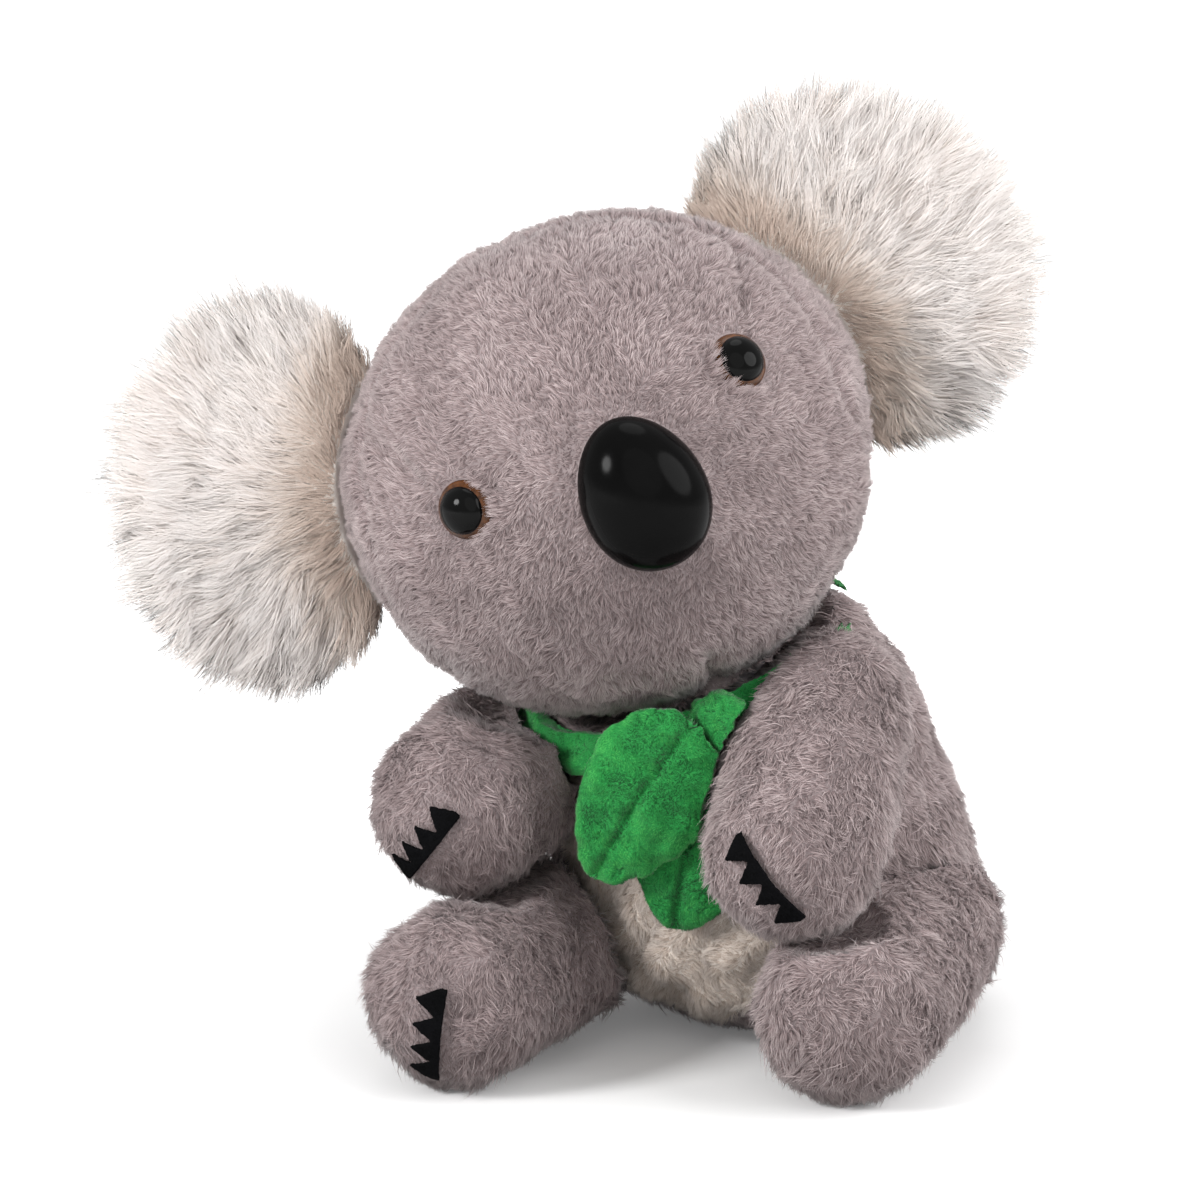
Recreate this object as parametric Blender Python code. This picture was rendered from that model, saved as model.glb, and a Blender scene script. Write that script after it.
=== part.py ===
"""A seated plush koala with a leaf scarf, in metres, +Z up.

The toy faces -Y and its own left side is +X. The origin is under the middle of the flat seat.
Every stuffed part is a fabric skin, whose thickness counts the backing and the pile, around a core of
stuffing. The head leans to the toy's right and looks up to its left. Limbs are cut to clear the body
through their swing, and the body and the arms are cut to clear the head through its tilt and turn.
"""

from math import cos, exp, pi, radians, sin, sqrt

import bmesh
import bpy
from mathutils import Matrix, Vector

# Fabric and clearances
PILE_AND_BACKING = 0.006
FELT_THICKNESS = 0.0012
FIT_GAP = 0.0003
SWING_GAP = 0.0007
ARM_GAP = 0.0018
POCKET_GAP = 0.0005
OVERRUN = 0.002

# Body: an egg that leans forward and to the toy's right
BODY_HALF_WIDTH = 0.066
BODY_HALF_DEPTH = 0.0627
BODY_WIDEST_HEIGHT = 0.036
BODY_UPPER_HEIGHT = 0.104
BODY_UPPER_FULLNESS = 2.2
BODY_LOWER_FULLNESS = 3.0
SEAT_CUT = 0.0005
BODY_LEAN_FORWARD_SHARE = 0.20
BODY_LEAN_RIGHT_SHARE = 0.14
NAPE_WAY_SHARES = (0.50, 0.30, 0.80)
NAPE_BULGE = 0.008
NAPE_REACH_SHARE = 0.45
BELLY_CENTRE_HEIGHT = 0.056
BELLY_HALF_WIDTH = 0.043
BELLY_HALF_HEIGHT = 0.050

BODY_TOP = BODY_WIDEST_HEIGHT + BODY_UPPER_HEIGHT


def body_level(height):
    """How wide the body is at a height, as a share of its widest."""
    rise = height - BODY_WIDEST_HEIGHT
    if rise > 0:
        return max(0.0, 1 - (rise / BODY_UPPER_HEIGHT) ** BODY_UPPER_FULLNESS) ** (1 / BODY_UPPER_FULLNESS)
    dip = min(1.0, -rise / (BODY_WIDEST_HEIGHT + SEAT_CUT))
    return (1 - dip**BODY_LOWER_FULLNESS) ** (1 / BODY_LOWER_FULLNESS)


def on_body(distances):
    """A place by its distances to the toy's left, forward of the body's front, and below the body's top."""
    side, forward, below_top = distances
    height = BODY_TOP - below_top
    front = -BODY_HALF_DEPTH * body_level(height) - BODY_LEAN_FORWARD_SHARE * height
    return Vector((side, front - forward, height))


# Head: an ellipsoid with its own frame, x to its left, -y forward, z up
HEAD_ABOVE_BODY_TOP = 0.034
HEAD_CENTRE = Vector((-0.035, -0.055, BODY_TOP + HEAD_ABOVE_BODY_TOP))
HEAD_HALF_WIDTH = 0.080
HEAD_HALF_DEPTH = 0.071
HEAD_HALF_HEIGHT = 0.0735
HEAD_TURN = radians(31)
HEAD_LIFT = radians(13)
HEAD_LEAN = radians(26)
FACE_SEAM_FORWARD = 0.015
MUZZLE_BULGE = 0.004
MUZZLE_REACH = 0.030
MUZZLE_DROP = 0.030

# Neck: a ball of firm stuffing, with the head's two axes through its centre
NECK_RADIUS = 0.033
NECK_BELOW_HEAD_CENTRE = 0.045
NECK_BEHIND_HEAD_CENTRE = 0.015
HEAD_SWING_ROOM = Vector((0.0080, 0.0036, 0.0025))

# Safety eyes and nose, each a moulded dome on a shank with a washer behind the fabric
EYE_RADIUS = 0.0085
EYE_HEIGHT = 0.0070
EYE_SINK = 0.0035
EYE_SHANK_RADIUS = 0.0022
EYE_WASHER_RADIUS = 0.0070
WASHER_THICKNESS = 0.0015
STUD_SHANK_LENGTH = 0.0085
RIGHT_EYE_AT = (-0.0445, 0.0050)
LEFT_EYE_AT = (0.0450, 0.0085)
NOSE_HALF_WIDTH = 0.0180
NOSE_HALF_HEIGHT = 0.0225
NOSE_HEIGHT = 0.0160
NOSE_SINK = 0.0040
NOSE_DROOP_SHARE = 0.10
NOSE_SHANK_RADIUS = 0.0030
NOSE_WASHER_RADIUS = 0.0095
NOSE_AT = (0.0030, -0.0135)

# Ears, in the head's frame: side, back and up of their centres
EAR_HALF_THICKNESS = 0.017
LEFT_EAR_CENTRE = Vector((0.092, 0.008, 0.019))
LEFT_EAR_HALF_WIDTH = 0.049
LEFT_EAR_HALF_HEIGHT = 0.052
RIGHT_EAR_CENTRE = Vector((-0.098, 0.008, 0.038))
RIGHT_EAR_HALF_WIDTH = 0.046
RIGHT_EAR_HALF_HEIGHT = 0.056
EAR_HINGE_INSET = 0.004

# Arms and legs: the middle of the joint end, the middle of the paw, and the radii between. What ends in ON_BODY
# is three distances: to the toy's left, forward of the body's front, and below the body's top
LEFT_SHOULDER_ON_BODY = Vector((0.032, -0.0265, 0.035))
LEFT_SHOULDER = on_body(LEFT_SHOULDER_ON_BODY)
LEFT_HAND_ON_BODY = Vector((0.040, 0.0047, 0.066))
LEFT_HAND = on_body(LEFT_HAND_ON_BODY)
LEFT_ARM_RADII = (0.025, 0.0275, 0.027)
RIGHT_SHOULDER_ON_BODY = Vector((-0.061, -0.0295, 0.050))
RIGHT_SHOULDER = on_body(RIGHT_SHOULDER_ON_BODY)
RIGHT_HAND_ON_BODY = Vector((-0.061, 0.0187, 0.063))
RIGHT_HAND = on_body(RIGHT_HAND_ON_BODY)
RIGHT_ARM_RADII = (0.024, 0.0280, 0.028)
LEFT_LEG_RADII = (0.029, 0.029, 0.0285)
LEFT_HIP = Vector((0.045, -0.014, 0.034))
LEFT_FOOT_FORWARD = 0.0093
LEFT_FOOT = Vector((0.055, -BODY_HALF_DEPTH - LEFT_FOOT_FORWARD, LEFT_LEG_RADII[2] - SEAT_CUT))
RIGHT_LEG_RADII = (0.026, 0.0265, 0.028)
RIGHT_HIP = Vector((-0.046, -0.036, 0.031))
RIGHT_FOOT_FORWARD = 0.0543
RIGHT_FOOT = Vector((-0.048, -BODY_HALF_DEPTH - RIGHT_FOOT_FORWARD, RIGHT_LEG_RADII[2] - SEAT_CUT))
LEFT_ARM_RAISE = radians(16)
LEFT_ARM_OUT_SHARE = 0.8
RIGHT_ARM_SWING = radians(20)
RIGHT_ARM_RISE_SHARE = 0.15
ARM_SWEEP_SHARES = (0, 0.35, 0.68, 1)
LEG_IN = radians(8)
LEG_OUT = radians(12)
LEG_SWEEP_SHARES = (0, 0.5, 1)
EAR_FOLD = radians(15)
EAR_SWEEP_SHARES = (-1, 0, 1)

# Felt claws: a zigzag strip over each paw. Each pair of shares is where the strip sits and where its teeth
# point, in the view of someone in front of the face: right, up and near
CLAW_STRIP_LENGTH = 0.030
CLAW_SPINE = 0.0022
CLAW_REACH = 0.0088
CLAW_TEETH = 4
LEFT_HAND_CLAW_SHARES = ((-0.30, -0.26, 0.90), (-0.79, -0.61, 0))
RIGHT_HAND_CLAW_SHARES = ((-0.35, -0.50, 0.80), (-0.78, 0.62, 0))
LEFT_FOOT_CLAW_SHARES = ((-0.78, -0.45, -0.43), (-0.45, 0, -0.90))
RIGHT_FOOT_CLAW_SHARES = ((-0.20, -0.42, 0.88), (-1, 0.10, 0))

# Scarf: a plush band round the neck, a knot and two stuffed leaves
BAND_BELOW_BODY_TOP = 0.0275
BAND_CENTRE = Vector((-0.023, -0.032, BODY_TOP - BAND_BELOW_BODY_TOP))
BAND_AXIS = Vector((-0.20, -0.39, 0.90))
BAND_RADIUS = 0.0475
BAND_HALF_WIDTH = 0.0085
BAND_HALF_THICKNESS = 0.0030
BAND_SLOPE = radians(40)
KNOT_ON_BODY = Vector((0.0130, 0.0014, 0.0355))
KNOT_CENTRE = on_body(KNOT_ON_BODY)
KNOT_SIZES = Vector((0.0120, 0.0080, 0.0115))
LEAF_FACING = Vector((0.45, -0.87, 0.10))
FRONT_LEAF_ROOT_ON_BODY = Vector((0.0090, 0.0116, 0.0315))
FRONT_LEAF_ROOT = on_body(FRONT_LEAF_ROOT_ON_BODY)
FRONT_LEAF_TIP_ON_BODY = Vector((-0.0170, 0.0214, 0.0800))
FRONT_LEAF_TIP = on_body(FRONT_LEAF_TIP_ON_BODY)
FRONT_LEAF_SIZES = (0.0205, 0.0055)
FRONT_LEAF_LIFT = radians(20)
LEAF_SWEEP_SHARES = (0.5, 1)
REAR_LEAF_ROOT_ON_BODY = Vector((0.0110, 0.0030, 0.0470))
REAR_LEAF_ROOT = on_body(REAR_LEAF_ROOT_ON_BODY)
REAR_LEAF_TIP_ON_BODY = Vector((0.0010, 0.0068, 0.0970))
REAR_LEAF_TIP = on_body(REAR_LEAF_TIP_ON_BODY)
REAR_LEAF_SIZES = (0.0195, 0.0045)
LEAF_TIP_SHARE = 0.28

# How finely each form is divided: around, and from end to end
BODY_ROUND = (26, 16)
BODY_INSIDE_ROUND = (18, 11)
HEAD_ROUND = (26, 16)
HEAD_INSIDE_ROUND = (18, 12)
LIMB_ROUND = (16, 10)
LIMB_INSIDE_ROUND = (12, 8)
EAR_ROUND = (20, 10)
ROOM_ROUND = (22, 14)
NECK_ROUND = (22, 12)
EYE_ROUND = (14, 8)
NOSE_ROUND = (20, 10)
LEAF_ROUND = (16, 12)
KNOT_ROUND = (12, 8)
BAND_STEPS = 28
BAND_SIDES = 8
SHANK_SIDES = 12
BELLY_SIDES = 28
WELD_DISTANCE = 0.000001

# Colour and roughness of each material
GREY_PLUSH = ((0.42, 0.38, 0.40), 0.9)
WHITE_PLUSH = ((0.86, 0.84, 0.82), 0.9)
GREEN_PLUSH = ((0.02, 0.30, 0.06), 0.85)
STUFFING_WHITE = ((0.90, 0.90, 0.88), 0.95)
BLACK_PLASTIC = ((0.01, 0.01, 0.01), 0.15)
BROWN_PLASTIC = ((0.12, 0.05, 0.02), 0.2)
BLACK_FELT = ((0.015, 0.015, 0.017), 0.95)
CLEAR_PLASTIC = ((0.75, 0.75, 0.75), 0.5)

UP = Vector((0, 0, 1))


def clear_scene():
    for obj in list(bpy.data.objects):
        bpy.data.objects.remove(obj)


def collection_named(name):
    made = bpy.data.collections.new(name)
    bpy.context.scene.collection.children.link(made)
    return made


clear_scene()
PARTS = collection_named("plush_koala")
CUTTERS = collection_named("cutters")
AXIS_PLACES = {}


def material(name, finish):
    colour, roughness = finish
    made = bpy.data.materials.new(name)
    made.use_nodes = True
    shader = made.node_tree.nodes["Principled BSDF"]
    shader.inputs["Base Color"].default_value = (*colour, 1)
    shader.inputs["Roughness"].default_value = roughness
    shader.inputs["Metallic"].default_value = 0
    return made


def placed(name, mesh, place, collection, carrier=None):
    """An object at its place in the world. A carrier is an empty, and the object hangs from it unmoved."""
    obj = bpy.data.objects.new(name, mesh)
    obj.matrix_world = place
    collection.objects.link(obj)
    if carrier:
        obj.parent = carrier
        obj.matrix_parent_inverse = AXIS_PLACES[carrier.name].inverted()
    if collection is CUTTERS:
        obj.hide_render = True
        obj.display_type = "WIRE"
    return obj


def part(name, mesh, place, finish, carrier=None):
    obj = placed(name, mesh, place, PARTS, carrier)
    mesh.materials.append(finish)
    mesh.shade_smooth()
    return obj


def joint_axis(name, point, along, across, carrier=None):
    """An empty whose z is the axis that the pieces hung from it turn about."""
    AXIS_PLACES[name] = frame_along(point, along, across)
    return placed(name, None, AXIS_PLACES[name], PARTS, carrier)


def cutter(name, mesh, place):
    return placed(name, mesh, place, CUTTERS)


def boolean(obj, other, operation="DIFFERENCE"):
    step = obj.modifiers.new(other.name, "BOOLEAN")
    step.operation = operation
    step.object = other
    return obj


def mesh_of(name, bm):
    mesh = bpy.data.meshes.new(name)
    bm.to_mesh(mesh)
    bm.free()
    return mesh


def form(name, shape, segments, rings, grow=0.0, keep=()):
    """A ball whose points `shape` moves, then swollen by `grow` and trimmed to each (point, normal) of `keep`."""
    bm = bmesh.new()
    bmesh.ops.create_uvsphere(bm, u_segments=segments, v_segments=rings, radius=1)
    bmesh.ops.triangulate(bm, faces=bm.faces[:], quad_method="FIXED")
    for vert in bm.verts:
        vert.co = shape(vert.co.copy())
    bm.normal_update()
    moves = [vert.normal * grow for vert in bm.verts]
    for vert, move in zip(bm.verts, moves):
        vert.co += move
    for point, normal in keep:
        trim(bm, point, normal)
    return mesh_of(name, bm)


def trim(bm, point, normal):
    """Keeps the side of a plane that its normal points to, and closes the cut."""
    geometry = bm.verts[:] + bm.edges[:] + bm.faces[:]
    bmesh.ops.bisect_plane(
        bm, geom=geometry, dist=WELD_DISTANCE, plane_co=point, plane_no=normal, clear_inner=True
    )
    rim = [edge for edge in bm.edges if edge.is_boundary]
    bmesh.ops.contextual_create(bm, geom=rim)
    bmesh.ops.recalc_face_normals(bm, faces=bm.faces[:])
    if bm.calc_volume(signed=True) < 0:
        bmesh.ops.reverse_faces(bm, faces=bm.faces[:])


def cylinder(name, radius, length, place, sides=SHANK_SIDES):
    """A cylinder along its own z, from zero to `length`."""
    bm = bmesh.new()
    bmesh.ops.create_cone(
        bm, cap_ends=True, segments=sides, radius1=radius, radius2=radius, depth=length
    )
    bmesh.ops.translate(bm, vec=(0, 0, length / 2), verts=bm.verts[:])
    return cutter(name, mesh_of(name, bm), place)


def frame_along(origin, along, across):
    """A frame with z along one direction and x as near as it can be to another."""
    z = along.normalized()
    x = (across - z * across.dot(z)).normalized()
    y = z.cross(x)
    turn = Matrix((x, y, z)).transposed().to_4x4()
    return Matrix.Translation(origin) @ turn


def turned_about(point, axis, angle):
    return Matrix.Translation(point) @ Matrix.Rotation(angle, 4, axis) @ Matrix.Translation(-point)


# Head frame and its axes in the world

HEAD_PLACE = (
    Matrix.Translation(HEAD_CENTRE)
    @ Matrix.Rotation(HEAD_TURN, 4, "Z")
    @ Matrix.Rotation(-HEAD_LIFT, 4, "X")
    @ Matrix.Rotation(-HEAD_LEAN, 4, "Y")
)
HEAD_SIZES = Vector((HEAD_HALF_WIDTH, HEAD_HALF_DEPTH, HEAD_HALF_HEIGHT))
NECK_CENTRE = HEAD_PLACE @ Vector((0, NECK_BEHIND_HEAD_CENTRE, -NECK_BELOW_HEAD_CENTRE))
HEAD_FORWARD = HEAD_PLACE.to_3x3() @ Vector((0, -1, 0))
HEAD_UP = HEAD_PLACE.to_3x3() @ UP


def scaled(unit, sizes):
    return Vector((unit.x * sizes.x, unit.y * sizes.y, unit.z * sizes.z))


def with_muzzle(point):
    """The same point with the muzzle's swell under the nose added."""
    muzzle = Vector((NOSE_AT[0], -HEAD_HALF_DEPTH, -MUZZLE_DROP))
    near = exp(-((point - muzzle).length / MUZZLE_REACH) ** 2)
    return point + Vector((0, -MUZZLE_BULGE * near, 0))


def head_shape(unit):
    return with_muzzle(scaled(unit, HEAD_SIZES))


def head_point(side, up):
    """The place on the head's front at this side and height, and the outward direction there."""
    forward = HEAD_HALF_DEPTH * sqrt(1 - (side / HEAD_HALF_WIDTH) ** 2 - (up / HEAD_HALF_HEIGHT) ** 2)
    point = Vector((side, -forward, up))
    outward = Vector((side / HEAD_HALF_WIDTH**2, -forward / HEAD_HALF_DEPTH**2, up / HEAD_HALF_HEIGHT**2))
    return with_muzzle(point), outward.normalized()


def body_shape(unit):
    """The egg: fuller than an ellipsoid, sheared by its lean, with a nape that swells behind the head. Its
    underside dips `SEAT_CUT` below the floor."""
    half = BODY_UPPER_HEIGHT if unit.z > 0 else BODY_WIDEST_HEIGHT + SEAT_CUT
    height = BODY_WIDEST_HEIGHT + half * unit.z
    level = body_level(height)
    around = Vector((unit.x, unit.y))
    if around.length > 0:
        around.normalize()
    point = Vector(
        (
            around.x * level * BODY_HALF_WIDTH - BODY_LEAN_RIGHT_SHARE * height,
            around.y * level * BODY_HALF_DEPTH - BODY_LEAN_FORWARD_SHARE * height,
            height,
        )
    )
    nape_way = Vector(NAPE_WAY_SHARES).normalized()
    near = exp(-(((unit - nape_way).length / NAPE_REACH_SHARE) ** 2))
    return point + nape_way * NAPE_BULGE * near


# Neck, and the room that the head needs

ROUND_PLACE = Matrix.Translation(NECK_CENTRE)


def neck_cutter(name, gap):
    return cutter(name, form(name, lambda unit: unit * NECK_RADIUS, *NECK_ROUND, gap), ROUND_PLACE)


NECK_SEAT = neck_cutter("neck_seat", SWING_GAP)


def head_room(name, gap):
    """What the head passes through as it tilts and turns, as one larger ellipsoid."""
    sizes = HEAD_SIZES + HEAD_SWING_ROOM
    return cutter(name, form(name, lambda unit: scaled(unit, sizes), *ROOM_ROUND, gap), HEAD_PLACE)


HEAD_ROOM = head_room("head_room", FIT_GAP)
HEAD_ROOM_INSIDE = head_room("head_room_inside", FIT_GAP + PILE_AND_BACKING)
HEAD_ROOM_CORE = head_room("head_room_core", FIT_GAP + PILE_AND_BACKING + FIT_GAP)

GREY = material("grey_plush", GREY_PLUSH)
WHITE = material("white_plush", WHITE_PLUSH)
GREEN = material("green_plush", GREEN_PLUSH)
FILLING = material("stuffing", STUFFING_WHITE)
BLACK = material("black_plastic", BLACK_PLASTIC)
BROWN = material("brown_plastic", BROWN_PLASTIC)
FELT = material("black_felt", BLACK_FELT)
CLEAR = material("washer_plastic", CLEAR_PLASTIC)


def body_form(name, grow, floor, round_counts=BODY_ROUND):
    return form(name, body_shape, *round_counts, grow, [(UP * floor, UP)])


def belly_outline(name, gap, length):
    """An upright oval bar that runs forward from inside the body."""
    place = Matrix.Translation((-BODY_LEAN_RIGHT_SHARE * BELLY_CENTRE_HEIGHT, 0, BELLY_CENTRE_HEIGHT))
    bar = cylinder(name, 1, length, place @ Matrix.Rotation(pi / 2, 4, "X"), BELLY_SIDES)
    bar.data.transform(Matrix.Diagonal((BELLY_HALF_WIDTH + gap, BELLY_HALF_HEIGHT + gap, 1, 1)))
    return bar


def make_body():
    inside = body_form("body_inside", -PILE_AND_BACKING, PILE_AND_BACKING, BODY_INSIDE_ROUND)
    inner = cutter("body_inside", inside, Matrix())
    boolean(inner, HEAD_ROOM_INSIDE)
    belly_bar = belly_outline("belly_bar", 0, 2 * BODY_HALF_DEPTH)
    belly_hole = belly_outline("belly_hole", FIT_GAP, 2 * BODY_HALF_DEPTH)

    skin = part("torso_skin", body_form("torso_skin", 0, 0), Matrix(), GREY)
    boolean(skin, HEAD_ROOM)
    boolean(skin, inner)
    boolean(skin, NECK_SEAT)
    boolean(skin, belly_hole)

    belly = part("belly_panel", body_form("belly_panel", 0, 0), Matrix(), WHITE)
    boolean(belly, HEAD_ROOM)
    boolean(belly, inner)
    boolean(belly, NECK_SEAT)
    boolean(belly, belly_bar, "INTERSECT")

    depth = PILE_AND_BACKING + FIT_GAP
    filling = body_form("torso_stuffing", -depth, depth, BODY_INSIDE_ROUND)
    core = part("torso_stuffing", filling, Matrix(), FILLING)
    boolean(core, HEAD_ROOM_CORE)
    boolean(core, NECK_SEAT)


def make_neck():
    """The ball turns about the head's upright, and carries the axis that the head tilts about."""
    turn = joint_axis("head_turn_axis", NECK_CENTRE, HEAD_UP, HEAD_FORWARD)
    ball = form("neck_stuffing", lambda unit: unit * NECK_RADIUS, *NECK_ROUND)
    part("neck_stuffing", ball, ROUND_PLACE, FILLING, turn)
    return joint_axis("head_tilt_axis", NECK_CENTRE, HEAD_FORWARD, HEAD_UP, turn)


# Eyes and nose


def eye_shape(unit):
    return Vector((unit.x * EYE_RADIUS, unit.y * EYE_RADIUS, unit.z * EYE_HEIGHT))


def nose_shape(unit):
    wider = 1 - NOSE_DROOP_SHARE * unit.y
    return Vector((unit.x * NOSE_HALF_WIDTH * wider, unit.y * NOSE_HALF_HEIGHT, unit.z * NOSE_HEIGHT))


def stud_place(at, sink):
    """A frame on the face with z outward and y up the head, `sink` below the pile."""
    point, outward = head_point(*at)
    return HEAD_PLACE @ frame_along(point - outward * sink, outward, UP.cross(outward))


def make_stud(name, shape, round_counts, at, sink, shank_radius, washer_radius, finish, head_axis):
    """A dome on a shank, with the washer that holds it, and the cutters for its pocket, hole and room."""
    place = stud_place(at, sink)
    dome_mesh = form(name, shape, *round_counts, 0, [(Vector(), UP)])
    dome = part(name, dome_mesh, place, finish, head_axis)
    behind = place @ Matrix.Translation((0, 0, -STUD_SHANK_LENGTH))
    shank = cylinder(name + "_shank", shank_radius, STUD_SHANK_LENGTH + OVERRUN / 2, behind)
    boolean(dome, shank, "UNION")

    front = sink - PILE_AND_BACKING
    seat = place @ Matrix.Translation((0, 0, front - WASHER_THICKNESS))
    disc = cylinder(name + "_disc", washer_radius, WASHER_THICKNESS, seat)
    washer = part(name + "_washer", disc.data, seat, CLEAR, head_axis)
    hole = cylinder(name + "_hole", shank_radius + FIT_GAP, STUD_SHANK_LENGTH + OVERRUN, behind)
    boolean(washer, hole)

    pocket_mesh = form(name + "_pocket", shape, *round_counts, FIT_GAP, [(UP * -FIT_GAP, UP)])
    pocket = cutter(name + "_pocket", pocket_mesh, place)
    room_depth = STUD_SHANK_LENGTH + POCKET_GAP
    room = cylinder(
        name + "_room",
        washer_radius + POCKET_GAP,
        room_depth + front + FIT_GAP,
        place @ Matrix.Translation((0, 0, -room_depth)),
    )
    return pocket, hole, room


# Ears


def ear_frame(centre):
    """An ear's frame in the head's: x outward from the middle of the head, z along the seam."""
    outward = Vector((centre.x, 0, centre.z)).normalized()
    return frame_along(centre, outward.cross(Vector((0, 1, 0))), outward)


def make_ear(side, centre, half_width, half_height, head_axis):
    sizes = Vector((half_width, EAR_HALF_THICKNESS, half_height))
    place = HEAD_PLACE @ ear_frame(centre)
    flat_distance = Vector((centre.x, 0, centre.z)).length
    hinge = place @ Vector((HEAD_HALF_WIDTH - EAR_HINGE_INSET - flat_distance, 0, 0))
    upright = (place.to_3x3() @ UP).normalized()
    axis = joint_axis(f"ear_{side}_axis", hinge, upright, HEAD_FORWARD, head_axis)
    hollow = form("ear_root", head_shape, *HEAD_ROUND, SWING_GAP)
    roots = []
    for step, share in enumerate(EAR_SWEEP_SHARES):
        move = turned_about(hinge, upright, EAR_FOLD * share)
        roots.append(cutter(f"ear_{side}_root_{step}", hollow, move @ HEAD_PLACE))
    facing = (place.inverted() @ HEAD_PLACE).to_3x3() @ Vector((0, 1, 0))
    for half, way in (("front", -1), ("back", 1)):
        name = f"ear_{side}_{half}"
        keep = [(facing * way * FIT_GAP / 2, facing * way)]
        mesh = form(name, lambda unit: scaled(unit, sizes), *EAR_ROUND, 0, keep)
        panel = part(name, mesh, place, WHITE, axis)
        for root in roots:
            boolean(panel, root)


# Head


def face_half(name, grow, way, gap):
    keep = [(Vector((0, -FACE_SEAM_FORWARD + way * gap / 2, 0)), Vector((0, way, 0)))]
    return form(name, head_shape, *HEAD_ROUND, grow, keep)


def make_studs(head_axis):
    studs = []
    for name, at in (("eye_right", RIGHT_EYE_AT), ("eye_left", LEFT_EYE_AT)):
        studs.append(make_stud(name, eye_shape, EYE_ROUND, at, EYE_SINK, EYE_SHANK_RADIUS,
                               EYE_WASHER_RADIUS, BROWN, head_axis))
    studs.append(make_stud("nose", nose_shape, NOSE_ROUND, NOSE_AT, NOSE_SINK, NOSE_SHANK_RADIUS,
                           NOSE_WASHER_RADIUS, BLACK, head_axis))
    return studs


def make_head(head_axis):
    inside = form("head_inside", head_shape, *HEAD_INSIDE_ROUND, -PILE_AND_BACKING)
    inner = cutter("head_inside", inside, HEAD_PLACE)
    studs = make_studs(head_axis)
    face_mesh = face_half("head_face_panel", 0, -1, FIT_GAP)
    face = part("head_face_panel", face_mesh, HEAD_PLACE, GREY, head_axis)
    back_mesh = face_half("head_back_panel", 0, 1, FIT_GAP)
    back = part("head_back_panel", back_mesh, HEAD_PLACE, GREY, head_axis)
    for panel in (face, back):
        boolean(panel, inner)
        boolean(panel, NECK_SEAT)
    core_mesh = form("head_stuffing", head_shape, *HEAD_INSIDE_ROUND, -PILE_AND_BACKING - FIT_GAP)
    core = part("head_stuffing", core_mesh, HEAD_PLACE, FILLING, head_axis)
    boolean(core, NECK_SEAT)
    for pocket, hole, room in studs:
        boolean(face, pocket)
        boolean(face, hole)
        boolean(face, room)
        boolean(core, hole)
        boolean(core, room)


# Limbs


def limb_shape(length, radii):
    """A tapered limb along z from its joint end at zero, with a round end at each side."""

    def shape(unit):
        if abs(unit.z) < WELD_DISTANCE:
            return unit * radii[1] + UP * length / 2
        if unit.z > 0:
            return unit * radii[2] + UP * length
        return unit * radii[0]

    return shape


def flat_limb(name, shape, place, grow, floor, round_counts=LIMB_ROUND):
    """A limb's form, cut level at the floor's height in the world."""
    inverse = place.inverted()
    keep = [(inverse @ (UP * floor), inverse.to_3x3() @ UP)]
    return form(name, shape, *round_counts, grow, keep)


def limb(name, joint, paw, radii, axis, sweep, others):
    """A limb's skin and stuffing. `sweep` is the angles at which it has to clear the body and `others`."""
    carrier = joint_axis(name + "_axis", joint, axis, paw - joint)
    along = paw - joint
    place = frame_along(joint, along, axis)
    shape = limb_shape(along.length, radii)
    bodies = []
    for step, angle in enumerate(sweep):
        move = turned_about(joint, axis, -angle)
        mesh = body_form(f"{name}_body_{step}", SWING_GAP, -OVERRUN)
        bodies.append(cutter(f"{name}_body_{step}", mesh, move))
    walls = []
    for label, grow in (("out", 0.0), ("in", PILE_AND_BACKING), ("core", PILE_AND_BACKING + FIT_GAP)):
        cuts = []
        for step, angle in enumerate(sweep):
            move = turned_about(joint, axis, -angle)
            for other_name, other_mesh, other_place in others(grow):
                made = cutter(f"{name}_{label}_{other_name}_{step}", other_mesh, move @ other_place)
                cuts.append(made)
        walls.append(cuts)

    depth = PILE_AND_BACKING
    inner_mesh = flat_limb(name + "_inside", shape, place, -depth, depth, LIMB_INSIDE_ROUND)
    inner = cutter(name + "_inside", inner_mesh, place)
    for cut in walls[1]:
        boolean(inner, cut)
    skin_mesh = flat_limb(name + "_skin", shape, place, 0, 0)
    skin = part(name + "_skin", skin_mesh, place, GREY, carrier)
    for cut in bodies + walls[0] + [inner]:
        boolean(skin, cut)
    depth = PILE_AND_BACKING + FIT_GAP
    core_mesh = flat_limb(name + "_stuffing", shape, place, -depth, depth, LIMB_INSIDE_ROUND)
    core = part(name + "_stuffing", core_mesh, place, FILLING, carrier)
    for cut in bodies + walls[2]:
        boolean(core, cut)
    return place, shape, carrier


BAND_PLACE = frame_along(BAND_CENTRE, BAND_AXIS, Vector((1, 0, 0)))


def band_mesh(name, grow):
    """A ring whose oval section slopes down and out, swollen by `grow`."""
    bm = bmesh.new()
    verts = []
    for side in range(BAND_SIDES):
        angle = 2 * pi * side / BAND_SIDES
        wide = (BAND_HALF_WIDTH + grow) * cos(angle)
        thick = (BAND_HALF_THICKNESS + grow) * sin(angle)
        out = wide * cos(BAND_SLOPE) + thick * sin(BAND_SLOPE)
        up = thick * cos(BAND_SLOPE) - wide * sin(BAND_SLOPE)
        verts.append(bm.verts.new((BAND_RADIUS + out, 0, up)))
    edges = [bm.edges.new(ends) for ends in zip(verts, verts[1:] + verts[:1])]
    bmesh.ops.spin(bm, geom=edges, axis=(0, 0, 1), angle=2 * pi, steps=BAND_STEPS, use_merge=True)
    bmesh.ops.recalc_face_normals(bm, faces=bm.faces[:])
    return mesh_of(name, bm)


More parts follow.
